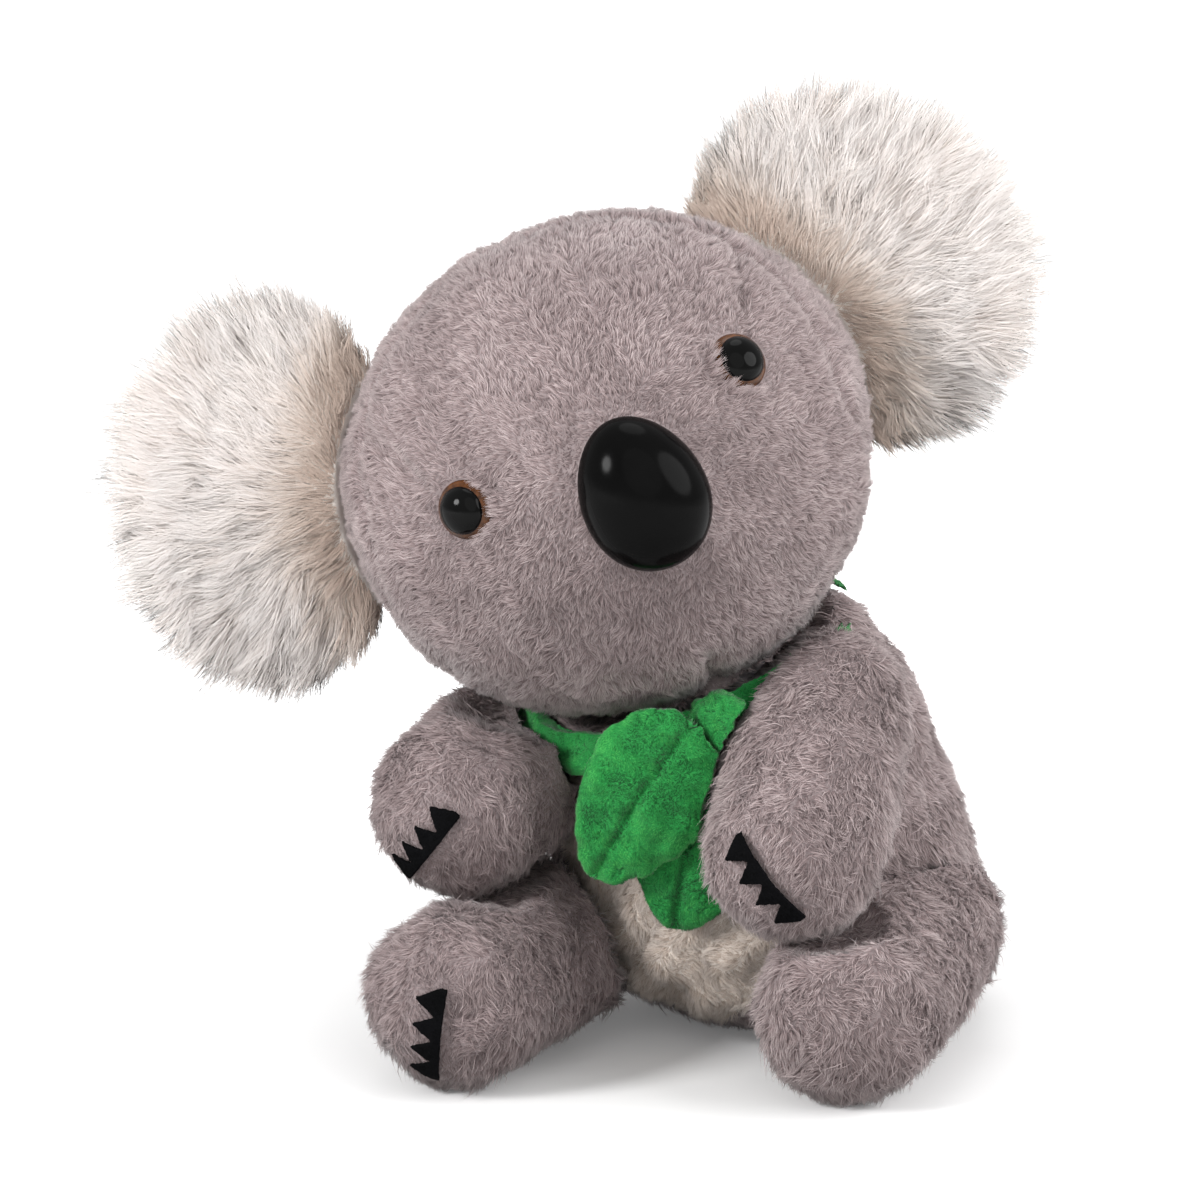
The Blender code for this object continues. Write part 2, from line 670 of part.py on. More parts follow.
def above_arm(grow):
    """What lies over an arm: the room that the head moves in, and the scarf's band."""
    sizes = HEAD_SIZES + HEAD_SWING_ROOM
    head = form("head_over_arm", lambda unit: scaled(unit, sizes), *ROOM_ROUND, ARM_GAP + grow)
    band = band_mesh("band_over_arm", ARM_GAP + grow)
    return [("head", head, HEAD_PLACE), ("band", band, BAND_PLACE)]


def arm_above(place, shape):
    """What lies over a leg: the arm on its side."""

    def others(grow):
        return [("arm", form("arm_over_leg", shape, *LIMB_ROUND, ARM_GAP + grow), place)]

    return others


def claw_outline(length, reach):
    """The zigzag: a straight spine along x with teeth that point along y."""
    pitch = length / CLAW_TEETH
    points = [(-length / 2, 0.0), (length / 2, 0.0), (length / 2, CLAW_SPINE)]
    for tooth in range(CLAW_TEETH):
        right = length / 2 - tooth * pitch
        points.append((right - pitch / 2, reach))
        points.append((right - pitch, CLAW_SPINE))
    return points


def make_claws(name, place, shape, centre, claw_shares, carrier):
    """A felt zigzag wrapped over the paw: a thin layer of the swollen paw, cut to the outline."""
    outward, teeth_way = [seen(*shares) for shares in claw_shares]
    frame = frame_along(centre, outward, teeth_way.cross(outward))
    curve = bpy.data.curves.new(name + "_outline", "CURVE")
    curve.dimensions = "2D"
    curve.fill_mode = "BOTH"
    curve.extrude = CLAW_STRIP_LENGTH / 2
    spline = curve.splines.new("POLY")
    points = claw_outline(CLAW_STRIP_LENGTH, CLAW_REACH)
    spline.points.add(len(points) - 1)
    for spot, (x, y) in zip(spline.points, points):
        spot.co = (x, y, 0, 1)
    spline.use_cyclic_u = True
    guide = placed(name + "_guide", curve, frame @ Matrix.Translation((0, 0, CLAW_STRIP_LENGTH / 2)), CUTTERS)
    bpy.context.view_layer.update()
    graph = bpy.context.evaluated_depsgraph_get()
    mesh = bpy.data.meshes.new_from_object(guide.evaluated_get(graph))
    bm = bmesh.new()
    bm.from_mesh(mesh)
    bmesh.ops.remove_doubles(bm, verts=bm.verts[:], dist=WELD_DISTANCE)
    bmesh.ops.recalc_face_normals(bm, faces=bm.faces[:])
    bm.to_mesh(mesh)
    bm.free()
    bar = cutter(name + "_bar", mesh, guide.matrix_world.copy())
    bpy.data.objects.remove(guide)

    paw = cutter(name + "_paw", form(name + "_paw", shape, *LIMB_ROUND, FIT_GAP), place)
    felt_mesh = form(name, shape, *LIMB_ROUND, FIT_GAP + FELT_THICKNESS)
    felt = part(name, felt_mesh, place, FELT, carrier)
    boolean(felt, bar, "INTERSECT")
    boolean(felt, paw)


def seen(right, up, near):
    """A direction given as someone in front of the face sees it, who looks level with the lifted head."""
    level = Matrix.Rotation(HEAD_TURN, 3, "Z") @ Matrix.Rotation(-HEAD_LIFT, 3, "X")
    return level @ Vector((right, -near, up))


def make_arm(side, joint, paw, radii, axis, most, claw_shares):
    """An arm that turns about `axis` by up to `most`, with the room it passes through."""
    steps = [most * share for share in ARM_SWEEP_SHARES]
    place, shape, carrier = limb("arm_" + side, joint, paw, radii, axis, steps, above_arm)
    make_claws(f"arm_{side}_claws", place, shape, paw, claw_shares, carrier)
    room = []
    for step, angle in enumerate(steps):
        mesh = form("arm_room", shape, *LIMB_ROUND, SWING_GAP)
        room.append(cutter(f"arm_{side}_room_{step}", mesh, turned_about(joint, axis, angle) @ place))
    return room, arm_above(place, shape)


def make_leg(side, joint, paw, radii, axis, above, claw_shares):
    steps = [-LEG_IN] + [LEG_OUT * share for share in LEG_SWEEP_SHARES]
    place, shape, carrier = limb("leg_" + side, joint, paw, radii, axis, steps, above)
    make_claws(f"leg_{side}_claws", place, shape, paw, claw_shares, carrier)


def make_limbs():
    """Each arm swings out to its own side. The left one rises as it goes, and the right one, under the head,
    rises only a little."""
    left_up = (LEFT_HAND - LEFT_SHOULDER).cross(UP).normalized()
    left_out = (left_up + UP * LEFT_ARM_OUT_SHARE).normalized()
    right_up = (RIGHT_HAND - RIGHT_SHOULDER).cross(UP).normalized()
    right_out = (right_up * RIGHT_ARM_RISE_SHARE - UP).normalized()
    left_room, over_left = make_arm("left", LEFT_SHOULDER, LEFT_HAND, LEFT_ARM_RADII, left_out,
                                    LEFT_ARM_RAISE, LEFT_HAND_CLAW_SHARES)
    right_room, over_right = make_arm("right", RIGHT_SHOULDER, RIGHT_HAND, RIGHT_ARM_RADII, right_out,
                                      RIGHT_ARM_SWING, RIGHT_HAND_CLAW_SHARES)
    make_leg("left", LEFT_HIP, LEFT_FOOT, LEFT_LEG_RADII, UP, over_left, LEFT_FOOT_CLAW_SHARES)
    make_leg("right", RIGHT_HIP, RIGHT_FOOT, RIGHT_LEG_RADII, -UP, over_right, RIGHT_FOOT_CLAW_SHARES)
    return left_room + right_room


# Scarf


def make_band(body_room):
    band = part("scarf_band", band_mesh("scarf_band", 0), BAND_PLACE, GREEN)
    for cut in (body_room, HEAD_ROOM):
        boolean(band, cut)
    return band


def leaf_shape(length, sizes):
    """A leaf along z from its root at zero: wide near the root, pointed at the tip."""

    def shape(unit):
        width = sizes[0] * (1 - LEAF_TIP_SHARE * unit.z)
        return Vector((unit.x * width, unit.y * sizes[1], length * (1 + unit.z) / 2))

    return shape


def make_leaf(name, root, tip, sizes, cuts, carrier=None):
    place = frame_along(root, tip - root, LEAF_FACING.cross(tip - root))
    shape = leaf_shape((tip - root).length, sizes)
    leaf = part(name, form(name, shape, *LEAF_ROUND), place, GREEN, carrier)
    for cut in cuts:
        boolean(leaf, cut)
    return place, shape


def arm_room_below_leaf(arm_room, axis):
    """The arms' room once more, turned back by the leaf's lift, so that the lifted leaf clears it too."""
    turned = []
    for share in LEAF_SWEEP_SHARES:
        move = turned_about(FRONT_LEAF_ROOT, axis.normalized(), -FRONT_LEAF_LIFT * share)
        for room in arm_room:
            turned.append(cutter(room.name + "_below", room.data, move @ room.matrix_world))
    return turned


def make_scarf(arm_room):
    body_mesh = body_form("scarf_body_room", SWING_GAP, -OVERRUN)
    body_room = cutter("scarf_body_room", body_mesh, Matrix())
    make_band(body_room)
    knot_place = Matrix.Translation(KNOT_CENTRE)
    knot_mesh = form("scarf_knot", lambda unit: scaled(unit, KNOT_SIZES), *KNOT_ROUND)
    knot = part("scarf_knot", knot_mesh, knot_place, GREEN)
    knot_room_mesh = form("knot_room", lambda unit: scaled(unit, KNOT_SIZES), *KNOT_ROUND, SWING_GAP)
    knot_room = cutter("knot_room", knot_room_mesh, knot_place)
    for cut in [body_room, HEAD_ROOM] + arm_room:
        boolean(knot, cut)
    boolean(bpy.data.objects["scarf_band"], knot_room)

    across = (FRONT_LEAF_TIP - FRONT_LEAF_ROOT).cross(LEAF_FACING)
    lift = joint_axis("leaf_front_axis", FRONT_LEAF_ROOT, across, LEAF_FACING)
    cuts = [body_room, knot_room, HEAD_ROOM] + arm_room + arm_room_below_leaf(arm_room, across)
    leaf_place, shape = make_leaf("leaf_front", FRONT_LEAF_ROOT, FRONT_LEAF_TIP, FRONT_LEAF_SIZES, cuts, lift)
    leaf_room = cutter("leaf_room", form("leaf_room", shape, *LEAF_ROUND, SWING_GAP), leaf_place)
    make_leaf("leaf_rear", REAR_LEAF_ROOT, REAR_LEAF_TIP, REAR_LEAF_SIZES,
              [body_room, knot_room, leaf_room] + arm_room)


make_body()
TILT_AXIS = make_neck()
make_head(TILT_AXIS)
make_ear("left", LEFT_EAR_CENTRE, LEFT_EAR_HALF_WIDTH, LEFT_EAR_HALF_HEIGHT, TILT_AXIS)
make_ear("right", RIGHT_EAR_CENTRE, RIGHT_EAR_HALF_WIDTH, RIGHT_EAR_HALF_HEIGHT, TILT_AXIS)
make_scarf(make_limbs())
bpy.context.view_layer.update()
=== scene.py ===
"""The looks of the plush koala: fur, velour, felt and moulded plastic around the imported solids."""

from math import cos, exp, pi, radians, sin, sqrt

import bpy
import numpy as np
from mathutils import Matrix, Vector
from mathutils.bvhtree import BVHTree
from mathutils.kdtree import KDTree


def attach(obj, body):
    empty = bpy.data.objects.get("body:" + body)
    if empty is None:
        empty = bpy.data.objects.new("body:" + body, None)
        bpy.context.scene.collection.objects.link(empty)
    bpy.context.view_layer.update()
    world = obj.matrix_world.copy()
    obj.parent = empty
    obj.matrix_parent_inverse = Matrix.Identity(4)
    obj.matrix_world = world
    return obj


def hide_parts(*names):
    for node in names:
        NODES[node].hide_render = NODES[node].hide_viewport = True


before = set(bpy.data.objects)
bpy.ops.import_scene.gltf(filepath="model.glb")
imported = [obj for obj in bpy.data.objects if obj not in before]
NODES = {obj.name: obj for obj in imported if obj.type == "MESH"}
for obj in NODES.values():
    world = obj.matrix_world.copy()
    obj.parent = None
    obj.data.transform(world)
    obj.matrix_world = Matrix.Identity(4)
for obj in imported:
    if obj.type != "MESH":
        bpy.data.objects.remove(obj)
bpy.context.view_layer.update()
MM = 0.001

# The head's frame and what lies on it, in metres
HEAD_CENTRE = Vector((-0.035, -0.055, 0.174))
HEAD_SIZES = np.array((0.080, 0.071, 0.0735))
HEAD_PLACE = (
    Matrix.Translation(HEAD_CENTRE)
    @ Matrix.Rotation(radians(31), 4, "Z")
    @ Matrix.Rotation(-radians(13), 4, "X")
    @ Matrix.Rotation(-radians(26), 4, "Y")
)
FROM_HEAD = np.array(HEAD_PLACE.inverted())
TO_HEAD = np.array(HEAD_PLACE)
MUZZLE = Vector((0.003, -0.071, -0.030))
MUZZLE_BULGE = 0.004
MUZZLE_REACH = 0.030
EYES = {"right": (-0.0445, 0.0050), "left": (0.0450, 0.0085)}
EYE_SINK = 0.0035
NOSE_AT = (0.0030, -0.0135)
NOSE_SINK = 0.0040
EARS = {"left": Vector((0.092, 0.008, 0.019)), "right": Vector((-0.098, 0.008, 0.038))}
LIMBS = {
    "arm_left": ((0.032, -0.044, 0.105), (0.040, -0.079, 0.074)),
    "arm_right": ((-0.061, -0.044, 0.090), (-0.061, -0.093, 0.077)),
    "leg_left": ((0.045, -0.014, 0.034), (0.055, -0.072, 0.028)),
    "leg_right": ((-0.046, -0.036, 0.031), (-0.048, -0.117, 0.0275)),
}


def in_head(points):
    return points @ FROM_HEAD[:3, :3].T + FROM_HEAD[:3, 3]


def out_of_head(points):
    return points @ TO_HEAD[:3, :3].T + TO_HEAD[:3, 3]


def frame_along(origin, along, across):
    z = along.normalized()
    x = (across - z * across.dot(z)).normalized()
    turn = Matrix((x, z.cross(x), z)).transposed().to_4x4()
    return Matrix.Translation(origin) @ turn


def head_point(side, up):
    """The place on the head's front at this side and height, and the outward direction there."""
    wide, deep, tall = HEAD_SIZES
    forward = deep * sqrt(1 - (side / wide) ** 2 - (up / tall) ** 2)
    point = Vector((side, -forward, up))
    outward = Vector((side / wide**2, -forward / deep**2, up / tall**2)).normalized()
    near = exp(-(((point - MUZZLE).length / MUZZLE_REACH) ** 2))
    return point + Vector((0, -MUZZLE_BULGE * near, 0)), outward


def stud_place(at, sink):
    point, outward = head_point(*at)
    return HEAD_PLACE @ frame_along(point - outward * sink, outward, Vector((0, 0, 1)).cross(outward))


# Noise and small vector helpers


def unit(vectors):
    return vectors / np.maximum(np.linalg.norm(vectors, axis=-1, keepdims=True), 1e-12)


def waves(points, size, seed, count=7):
    """A smooth random field with features of about `size`, from about -1 to 1."""
    rng = np.random.default_rng(seed)
    ways = unit(rng.normal(size=(count, 3))) * (2 * pi / size) * rng.uniform(0.6, 1.4, (count, 1))
    phases = rng.uniform(0, 2 * pi, count)
    return np.sin(points @ ways.T + phases).sum(axis=1) / sqrt(count / 2)


def near_line(points, line):
    """The distance of each point from a line of points."""
    best = np.full(len(points), 1e9)
    for a, b in zip(line, line[1:]):
        a, b = np.array(a, float), np.array(b, float)
        along = b - a
        share = np.clip(((points - a) @ along) / (along @ along), 0, 1)
        best = np.minimum(best, np.linalg.norm(points - a - share[:, None] * along, axis=1))
    return best


# Surfaces


def ends_of(faces):
    """The two ends of each side of each triangle."""
    return np.concatenate([faces[:, [0, 1]], faces[:, [1, 2]], faces[:, [2, 0]]])


class Plain:
    """Points and triangles only."""

    def __init__(self, points, faces):
        self.points = points
        self.faces = faces


class Surface:
    """Points and triangles, with normals that follow the points."""

    def __init__(self, points, faces):
        self.points = np.asarray(points, float)
        self.faces = np.asarray(faces, np.int64)
        self.edges = np.unique(np.sort(ends_of(self.faces), axis=1), axis=0)

    def crosses(self):
        a, b, c = (self.points[self.faces[:, k]] for k in range(3))
        return np.cross(b - a, c - a)

    def normals(self):
        weights = self.crosses()
        total = np.zeros_like(self.points)
        for k in range(3):
            for axis in range(3):
                total[:, axis] += np.bincount(
                    self.faces[:, k], weights[:, axis], minlength=len(self.points)
                )
        return unit(total)

    def averages(self):
        """The mean of each point's neighbours."""
        first, second = self.edges.T
        total = np.zeros_like(self.points)
        for axis in range(3):
            value = self.points[:, axis]
            total[:, axis] = np.bincount(first, value[second], minlength=len(value))
            total[:, axis] += np.bincount(second, value[first], minlength=len(value))
        count = np.bincount(self.edges.ravel(), minlength=len(self.points))
        return total / np.maximum(count, 1)[:, None]

    def smooth(self, rounds, push=-0.53):
        """Evens the surface out, and keeps its size by pushing back after each pull."""
        for _ in range(rounds):
            for share in (0.5, push):
                self.points = self.points + share * (self.averages() - self.points)
        return self

    def move(self, amounts):
        self.points = self.points + self.normals() * np.reshape(amounts, (-1, 1))
        return self

    def largest(self):
        """Only the largest connected piece."""
        label = np.arange(len(self.points))
        while True:
            low = np.minimum(label[self.edges[:, 0]], label[self.edges[:, 1]])
            fresh = label.copy()
            np.minimum.at(fresh, self.edges[:, 0], low)
            np.minimum.at(fresh, self.edges[:, 1], low)
            fresh = fresh[fresh]
            if (fresh == label).all():
                break
            label = fresh
        top = np.bincount(label).argmax()
        return self.part(label == top)

    def part(self, kept):
        index = np.cumsum(kept) - 1
        faces = self.faces[kept[self.faces].all(axis=1)]
        return Surface(self.points[kept], index[faces])

    def tree(self):
        return BVHTree.FromPolygons(self.points.tolist(), self.faces.tolist())


def surface_of(mesh):
    mesh.calc_loop_triangles()
    points = np.empty(len(mesh.vertices) * 3, np.float32)
    mesh.vertices.foreach_get("co", points)
    faces = np.empty(len(mesh.loop_triangles) * 3, np.int32)
    mesh.loop_triangles.foreach_get("vertices", faces)
    return Surface(points.reshape(-1, 3), faces.reshape(-1, 3))


def joined(*names):
    """The meshes of several CAD nodes as one surface."""
    points, faces, count = [], [], 0
    for name in names:
        found = surface_of(NODES[name].data)
        points.append(found.points)
        faces.append(found.faces + count)
        count += len(found.points)
    return Surface(np.concatenate(points), np.concatenate(faces))


def mesh_from(name, surface):
    mesh = bpy.data.meshes.new(name)
    mesh.vertices.add(len(surface.points))
    mesh.vertices.foreach_set("co", surface.points.astype(np.float32).ravel())
    count = len(surface.faces)
    mesh.loops.add(count * 3)
    mesh.loops.foreach_set("vertex_index", surface.faces.astype(np.int32).ravel())
    mesh.polygons.add(count)
    mesh.polygons.foreach_set("loop_start", np.arange(0, count * 3, 3, dtype=np.int32))
    mesh.update(calc_edges=True)
    mesh.shade_smooth()
    return mesh


def object_from(name, mesh):
    obj = bpy.data.objects.new(name, mesh)
    bpy.context.scene.collection.objects.link(obj)
    return obj


def remeshed(surface, voxel):
    """One closed skin round the surface, of evenly sized faces."""
    obj = object_from("remeshed", mesh_from("remeshed", surface))
    step = obj.modifiers.new("remesh", "REMESH")
    step.mode = "VOXEL"
    step.voxel_size = voxel
    graph = bpy.context.evaluated_depsgraph_get()
    graph.update()
    mesh = bpy.data.meshes.new_from_object(obj.evaluated_get(graph))
    found = surface_of(mesh)
    bpy.data.objects.remove(obj)
    return found.largest()


# Materials


def material(name):
    made = bpy.data.materials.new(name)
    made.use_nodes = True
    return made, made.node_tree.nodes, made.node_tree.links, made.node_tree.nodes["Principled BSDF"]


def set_values(node, values):
    for name, value in values.items():
        node.inputs[name].default_value = value


def math_node(nodes, links, operation, *values):
    """The result of arithmetic on sockets and numbers."""
    made = nodes.new("ShaderNodeMath")
    made.operation = operation
    for socket, value in zip(made.inputs, values):
        if isinstance(value, float):
            socket.default_value = value
        else:
            links.new(value, socket)
    return made.outputs[0]


def range_node(nodes, links, value, low, high):
    """Spreads a value between 0 and 1 over another range."""
    made = nodes.new("ShaderNodeMapRange")
    set_values(made, {"To Min": low, "To Max": high})
    links.new(value, made.inputs["Value"])
    return made


def ramp(nodes, links, value, stops):
    """The colour that a row of stops gives to a value."""
    made = nodes.new("ShaderNodeValToRGB")
    elements = made.color_ramp.elements
    while len(elements) < len(stops):
        elements.new(0.5)
    for element, (place, colour) in zip(elements, stops):
        element.position = place
        element.color = (*colour, 1)
    links.new(value, made.inputs["Fac"])
    return made.outputs["Color"]


def noise_node(nodes, links, vector, scale, detail):
    made = nodes.new("ShaderNodeTexNoise")
    set_values(made, {"Scale": scale, "Detail": detail, "Roughness": 0.55})
    links.new(vector, made.inputs["Vector"])
    return made.outputs["Fac"]


def multiply(nodes, links, first, second):
    made = nodes.new("ShaderNodeMix")
    made.data_type = "RGBA"
    made.blend_type = "MULTIPLY"
    made.inputs["Factor"].default_value = 1
    links.new(first, made.inputs["A"])
    links.new(second, made.inputs["B"])
    return made.outputs["Result"]


def add_bump(nodes, links, shader, height, strength, distance):
    made = nodes.new("ShaderNodeBump")
    set_values(made, {"Strength": strength, "Distance": distance})
    links.new(height, made.inputs["Height"])
    links.new(made.outputs["Normal"], shader.inputs["Normal"])


def fabric_material(name, dark, light, scale=260, roughness=0.95, sheen=0.2, specular=0.3):
    """Cloth backing: mottled colour, and a nap of fine lumps."""
    made, nodes, links, shader = material(name)
    place = nodes.new("ShaderNodeTexCoord").outputs["Object"]
    broad = noise_node(nodes, links, place, scale / 8, 4.0)
    fine = noise_node(nodes, links, place, scale * 4, 2.0)
    half = math_node(nodes, links, "MULTIPLY", broad, 0.5)
    tone = math_node(nodes, links, "MULTIPLY_ADD", fine, 0.5, half)
    links.new(ramp(nodes, links, tone, [(0.3, dark), (0.7, light)]), shader.inputs["Base Color"])
    set_values(shader, {"Roughness": roughness, "Sheen Weight": sheen, "Specular IOR Level": specular})
    add_bump(nodes, links, shader, tone, 0.6, 0.0006)
    return made


def fur_material(name, tones, root, roughness=0.75, sheen=0.15, specular=0.25):
    """Strands: across the map lies each strand's own tone, and along it the way from root to tip, with
    painted shade that darkens each strand towards its root.
    """
    made, nodes, links, shader = material(name)
    uv = nodes.new("ShaderNodeUVMap")
    uv.uv_map = "OFBake"
    split = nodes.new("ShaderNodeSeparateXYZ")
    links.new(uv.outputs["UV"], split.inputs[0])
    tone = ramp(nodes, links, split.outputs["X"], tones)
    # Painted shade: the root colour darkens each strand from its middle down to its root.
    half_root_shade = tuple((1 + c) / 2 for c in root)
    along = ramp(nodes, links, split.outputs["Y"], [(0.0, root), (0.35, half_root_shade), (0.8, (1, 1, 1))])
    grain = noise_node(nodes, links, uv.outputs["UV"], 160, 2.0)
    grain = ramp(nodes, links, grain, [(0.3, (0.86, 0.86, 0.86)), (0.7, (1, 1, 1))])
    mixed = multiply(nodes, links, multiply(nodes, links, tone, along), grain)
    links.new(mixed, shader.inputs["Base Color"])
    set_values(shader, {"Roughness": roughness, "Sheen Weight": sheen, "Specular IOR Level": specular})
    return made


def plastic_material(name, dark, light, roughness, coat, scale=90, specular=0.5):
    """Moulded plastic: a little colour drift, a faint waviness and a gloss that varies slightly."""
    made, nodes, links, shader = material(name)
    place = nodes.new("ShaderNodeTexCoord").outputs["Object"]
    broad = noise_node(nodes, links, place, scale, 3.0)
    links.new(ramp(nodes, links, broad, [(0.3, dark), (0.7, light)]), shader.inputs["Base Color"])
    fine = noise_node(nodes, links, place, scale * 12, 2.0)
    gloss = range_node(nodes, links, fine, roughness * 0.8, roughness * 1.3)
    links.new(gloss.outputs[0], shader.inputs["Roughness"])
    set_values(shader, {"Coat Weight": coat, "Coat Roughness": 0.06, "Specular IOR Level": specular})
    add_bump(nodes, links, shader, broad, 0.05, 0.0004)
    return made


BLACK = (0.002, 0.002, 0.002)
SOFT_BLACK = (0.003, 0.003, 0.003)
# The grey backing cloth, coloured much darker than the fur as painted shade in the gaps between the
# strands.
GREY_BACKING_WITH_PAINTED_SHADE = fabric_material("grey_backing_with_painted_shade", (0.20, 0.16, 0.16), (0.34, 0.28, 0.28))
WHITE_BACKING = fabric_material("white_backing", (0.62, 0.55, 0.49), (0.80, 0.73, 0.67))
EAR_BACKING = fabric_material("ear_backing", (0.76, 0.69, 0.63), (0.90, 0.85, 0.80))
GREEN_VELOUR = fabric_material("green_velour", (0.006, 0.14, 0.030), (0.020, 0.34, 0.060), 420, 0.85, 0.25)
NECK_CLOTH = fabric_material("neck_cloth", (0.24, 0.21, 0.22), (0.38, 0.34, 0.355))
BLACK_FELT = fabric_material("black_felt", BLACK, (0.006, 0.006, 0.007), 700, 1.0, 0.0, specular=0.03)
# Each fur's second colour is the painted shade at its strands' roots.
GREY_FUR = fur_material(
    "grey_fur", [(0.0, (0.25, 0.195, 0.195)), (0.5, (0.55, 0.445, 0.440)), (1.0, (0.90, 0.78, 0.775))],
    (0.38, 0.33, 0.33), sheen=0.22)
BELLY_FUR = fur_material(
    "belly_fur", [(0.0, (0.62, 0.53, 0.46)), (0.5, (0.82, 0.72, 0.645)), (1.0, (0.92, 0.86, 0.80))],
    (0.62, 0.55, 0.49))
EAR_FUR = fur_material(
    "ear_fur", [(0.0, (0.56, 0.44, 0.37)), (0.25, (0.80, 0.70, 0.63)), (0.5, (0.95, 0.885, 0.85)),
                (1.0, (0.99, 0.96, 0.94))],
    (0.90, 0.84, 0.80), sheen=0.3)
GREEN_FUR = fur_material(
    "green_pile", [(0.0, (0.001, 0.030, 0.009)), (0.5, (0.007, 0.225, 0.040)), (1.0, (0.10, 0.62, 0.14))],
    (0.50, 0.62, 0.52), 0.85, 0.20)
FELT_FUZZ = fur_material(
    "felt_fuzz", [(0.0, BLACK), (1.0, (0.008, 0.008, 0.009))], (0.6, 0.6, 0.6), 0.95, 0.0, 0.03)
NOSE_BLACK = plastic_material("nose_black", BLACK, SOFT_BLACK, 0.15, 0.0, specular=0.035)
PUPIL_BLACK = plastic_material("pupil_black", BLACK, SOFT_BLACK, 0.08, 0.0, specular=0.07)
IRIS_BROWN = plastic_material("iris_brown", (0.030, 0.010, 0.003), (0.12, 0.040, 0.010), 0.16, 0.0, 500,
                              specular=0.2)
WASHER_CLEAR = plastic_material("washer_clear", (0.62, 0.62, 0.60), (0.78, 0.78, 0.76), 0.45, 0.1, 300)


# Pieces


def piece(name, mesh, body, finish, stands_for=()):
    mesh.materials.clear()
    mesh.materials.append(finish)
    obj = object_from(name, mesh)
    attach(obj, body)
    if stands_for:
        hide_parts(*stands_for)
    return obj


def cover(name, surface, body, finish, stands_for):
    """The cloth of a soft piece, in place of the solids that it stands for."""
    piece(name, mesh_from(name, surface), body, finish, stands_for)


STRAND_DENSITY_SHARE = 1.0
LEAST_SHARE = 0.05
STRAND_BEND = 0.45
STRAND_TAPER = 0.55
STRAND_STRAY = 0.035
FLOOR_CLEARANCE = 0.0004


def scatter(surface, count, rng):
    """Even random places on the surface: their points and normals."""
    edges = np.cumsum(np.linalg.norm(surface.crosses(), axis=1))
    picks = (np.arange(count) + rng.random(count)) / count * edges[-1]
    found = np.minimum(np.searchsorted(edges, picks), len(edges) - 1)
    a, b = rng.random((2, count))
    flip = a + b > 1
    a[flip], b[flip] = 1 - a[flip], 1 - b[flip]
    shares = np.stack([1 - a - b, a, b], axis=1)[:, :, None]
    corners = surface.faces[found]
    points = (surface.points[corners] * shares).sum(axis=1)
    normals = unit((surface.normals()[corners] * shares).sum(axis=1))
    return points, normals


def strand_faces(rows):
    """The triangles of one strand: rings of three points, closed by a tip."""
    faces = []
    for row in range(rows - 1):
        for side in range(3):
            a, b = row * 3 + side, row * 3 + (side + 1) % 3
            faces += [(a, b, b + 3), (a, b + 3, a + 3)]
    last = (rows - 1) * 3
    faces += [(last + side, last + (side + 1) % 3, rows * 3) for side in range(3)]
    return np.array(faces)


def strand_lines(roots, normals, across, reach, tilt, steps):
    """Each strand's middle line, which leaves the cloth steeply and then bends over."""
    line = []
    for step in steps:
        up = step * (1 + STRAND_BEND * (1 - step))
        out = step * (1 - STRAND_BEND * (1 - step))
        line.append(roots + normals * (reach * up * np.cos(tilt))[:, None]
                    + across * (reach * out * np.sin(tilt))[:, None])
    return np.stack(line, axis=1)


def clumped(line, roots, steps, clumps, gather, rng):
    """The lines drawn towards the nearest of those that lead a clump, most of all at their tips."""
    heads = rng.permutation(len(roots))[: max(1, clumps)]
    tree = KDTree(len(heads))
    for spot, head in enumerate(heads):
        tree.insert(roots[head], spot)
    tree.balance()
    guide = heads[[tree.find(root)[1] for root in roots]]
    pull = gather * rng.uniform(0.6, 1.2, len(roots))[:, None] * steps**1.2
    return line + (line[guide] - line) * pull[:, :, None]


def strand_rings(line, normals, shaded, normal_share, width, steps, rng):
    """The points of each strand round its line, and the direction that each is shaded towards."""
    count, rows = len(line), len(steps) - 1
    way = unit(line[:, -1] - line[:, 0])
    first = unit(np.cross(way, normals) + 1e-9)
    second = np.cross(way, first)
    twist = rng.uniform(0, 2 * pi, count)
    points = np.empty((count, rows * 3 + 1, 3), np.float32)
    shading = np.empty_like(points)
    thick = width * MM / 2 * rng.uniform(0.7, 1.2, count)
    for row in range(rows):
        radius = thick * (1 - STRAND_TAPER * steps[row])
        for corner in range(3):
            turn = twist + corner * 2 * pi / 3
            radial = first * np.cos(turn)[:, None] + second * np.sin(turn)[:, None]
            points[:, row * 3 + corner] = line[:, row] + radial * radius[:, None]
            shading[:, row * 3 + corner] = unit(shaded * normal_share + radial * (1 - normal_share))
    points[:, -1] = line[:, -1]
    shading[:, -1] = unit(shaded * normal_share + way * (1 - normal_share))
    return points, shading


def strand_mesh(name, points, shading, tones, steps):
    """The strands' mesh, with a map of each strand's tone and of the way from its root to its tip."""
    count, size = points.shape[:2]
    rows = len(steps) - 1
    pattern = strand_faces(rows)
    faces = (pattern[None] + (np.arange(count) * size)[:, None, None]).reshape(-1, 3)
    mesh = mesh_from(name, Plain(points.reshape(-1, 3), faces))
    lift = np.append(np.repeat(steps[:rows], 3), 1.0)
    sideways = np.append(np.tile((-0.004, 0.0, 0.004), rows), 0.0)
    uv = np.empty((count, len(pattern) * 3, 2), np.float32)
    uv[:, :, 0] = tones[:, None] + sideways[pattern.ravel()][None]
    uv[:, :, 1] = 0.02 + 0.96 * lift[pattern.ravel()][None]
    layer = mesh.uv_layers.new(name="OFBake")
    layer.uv.foreach_set("vector", uv.ravel())
    custom = mesh.attributes.new("custom_normal", "FLOAT_VECTOR", "POINT")
    custom.data.foreach_set("vector", shading.reshape(-1, 3).ravel())
    return mesh


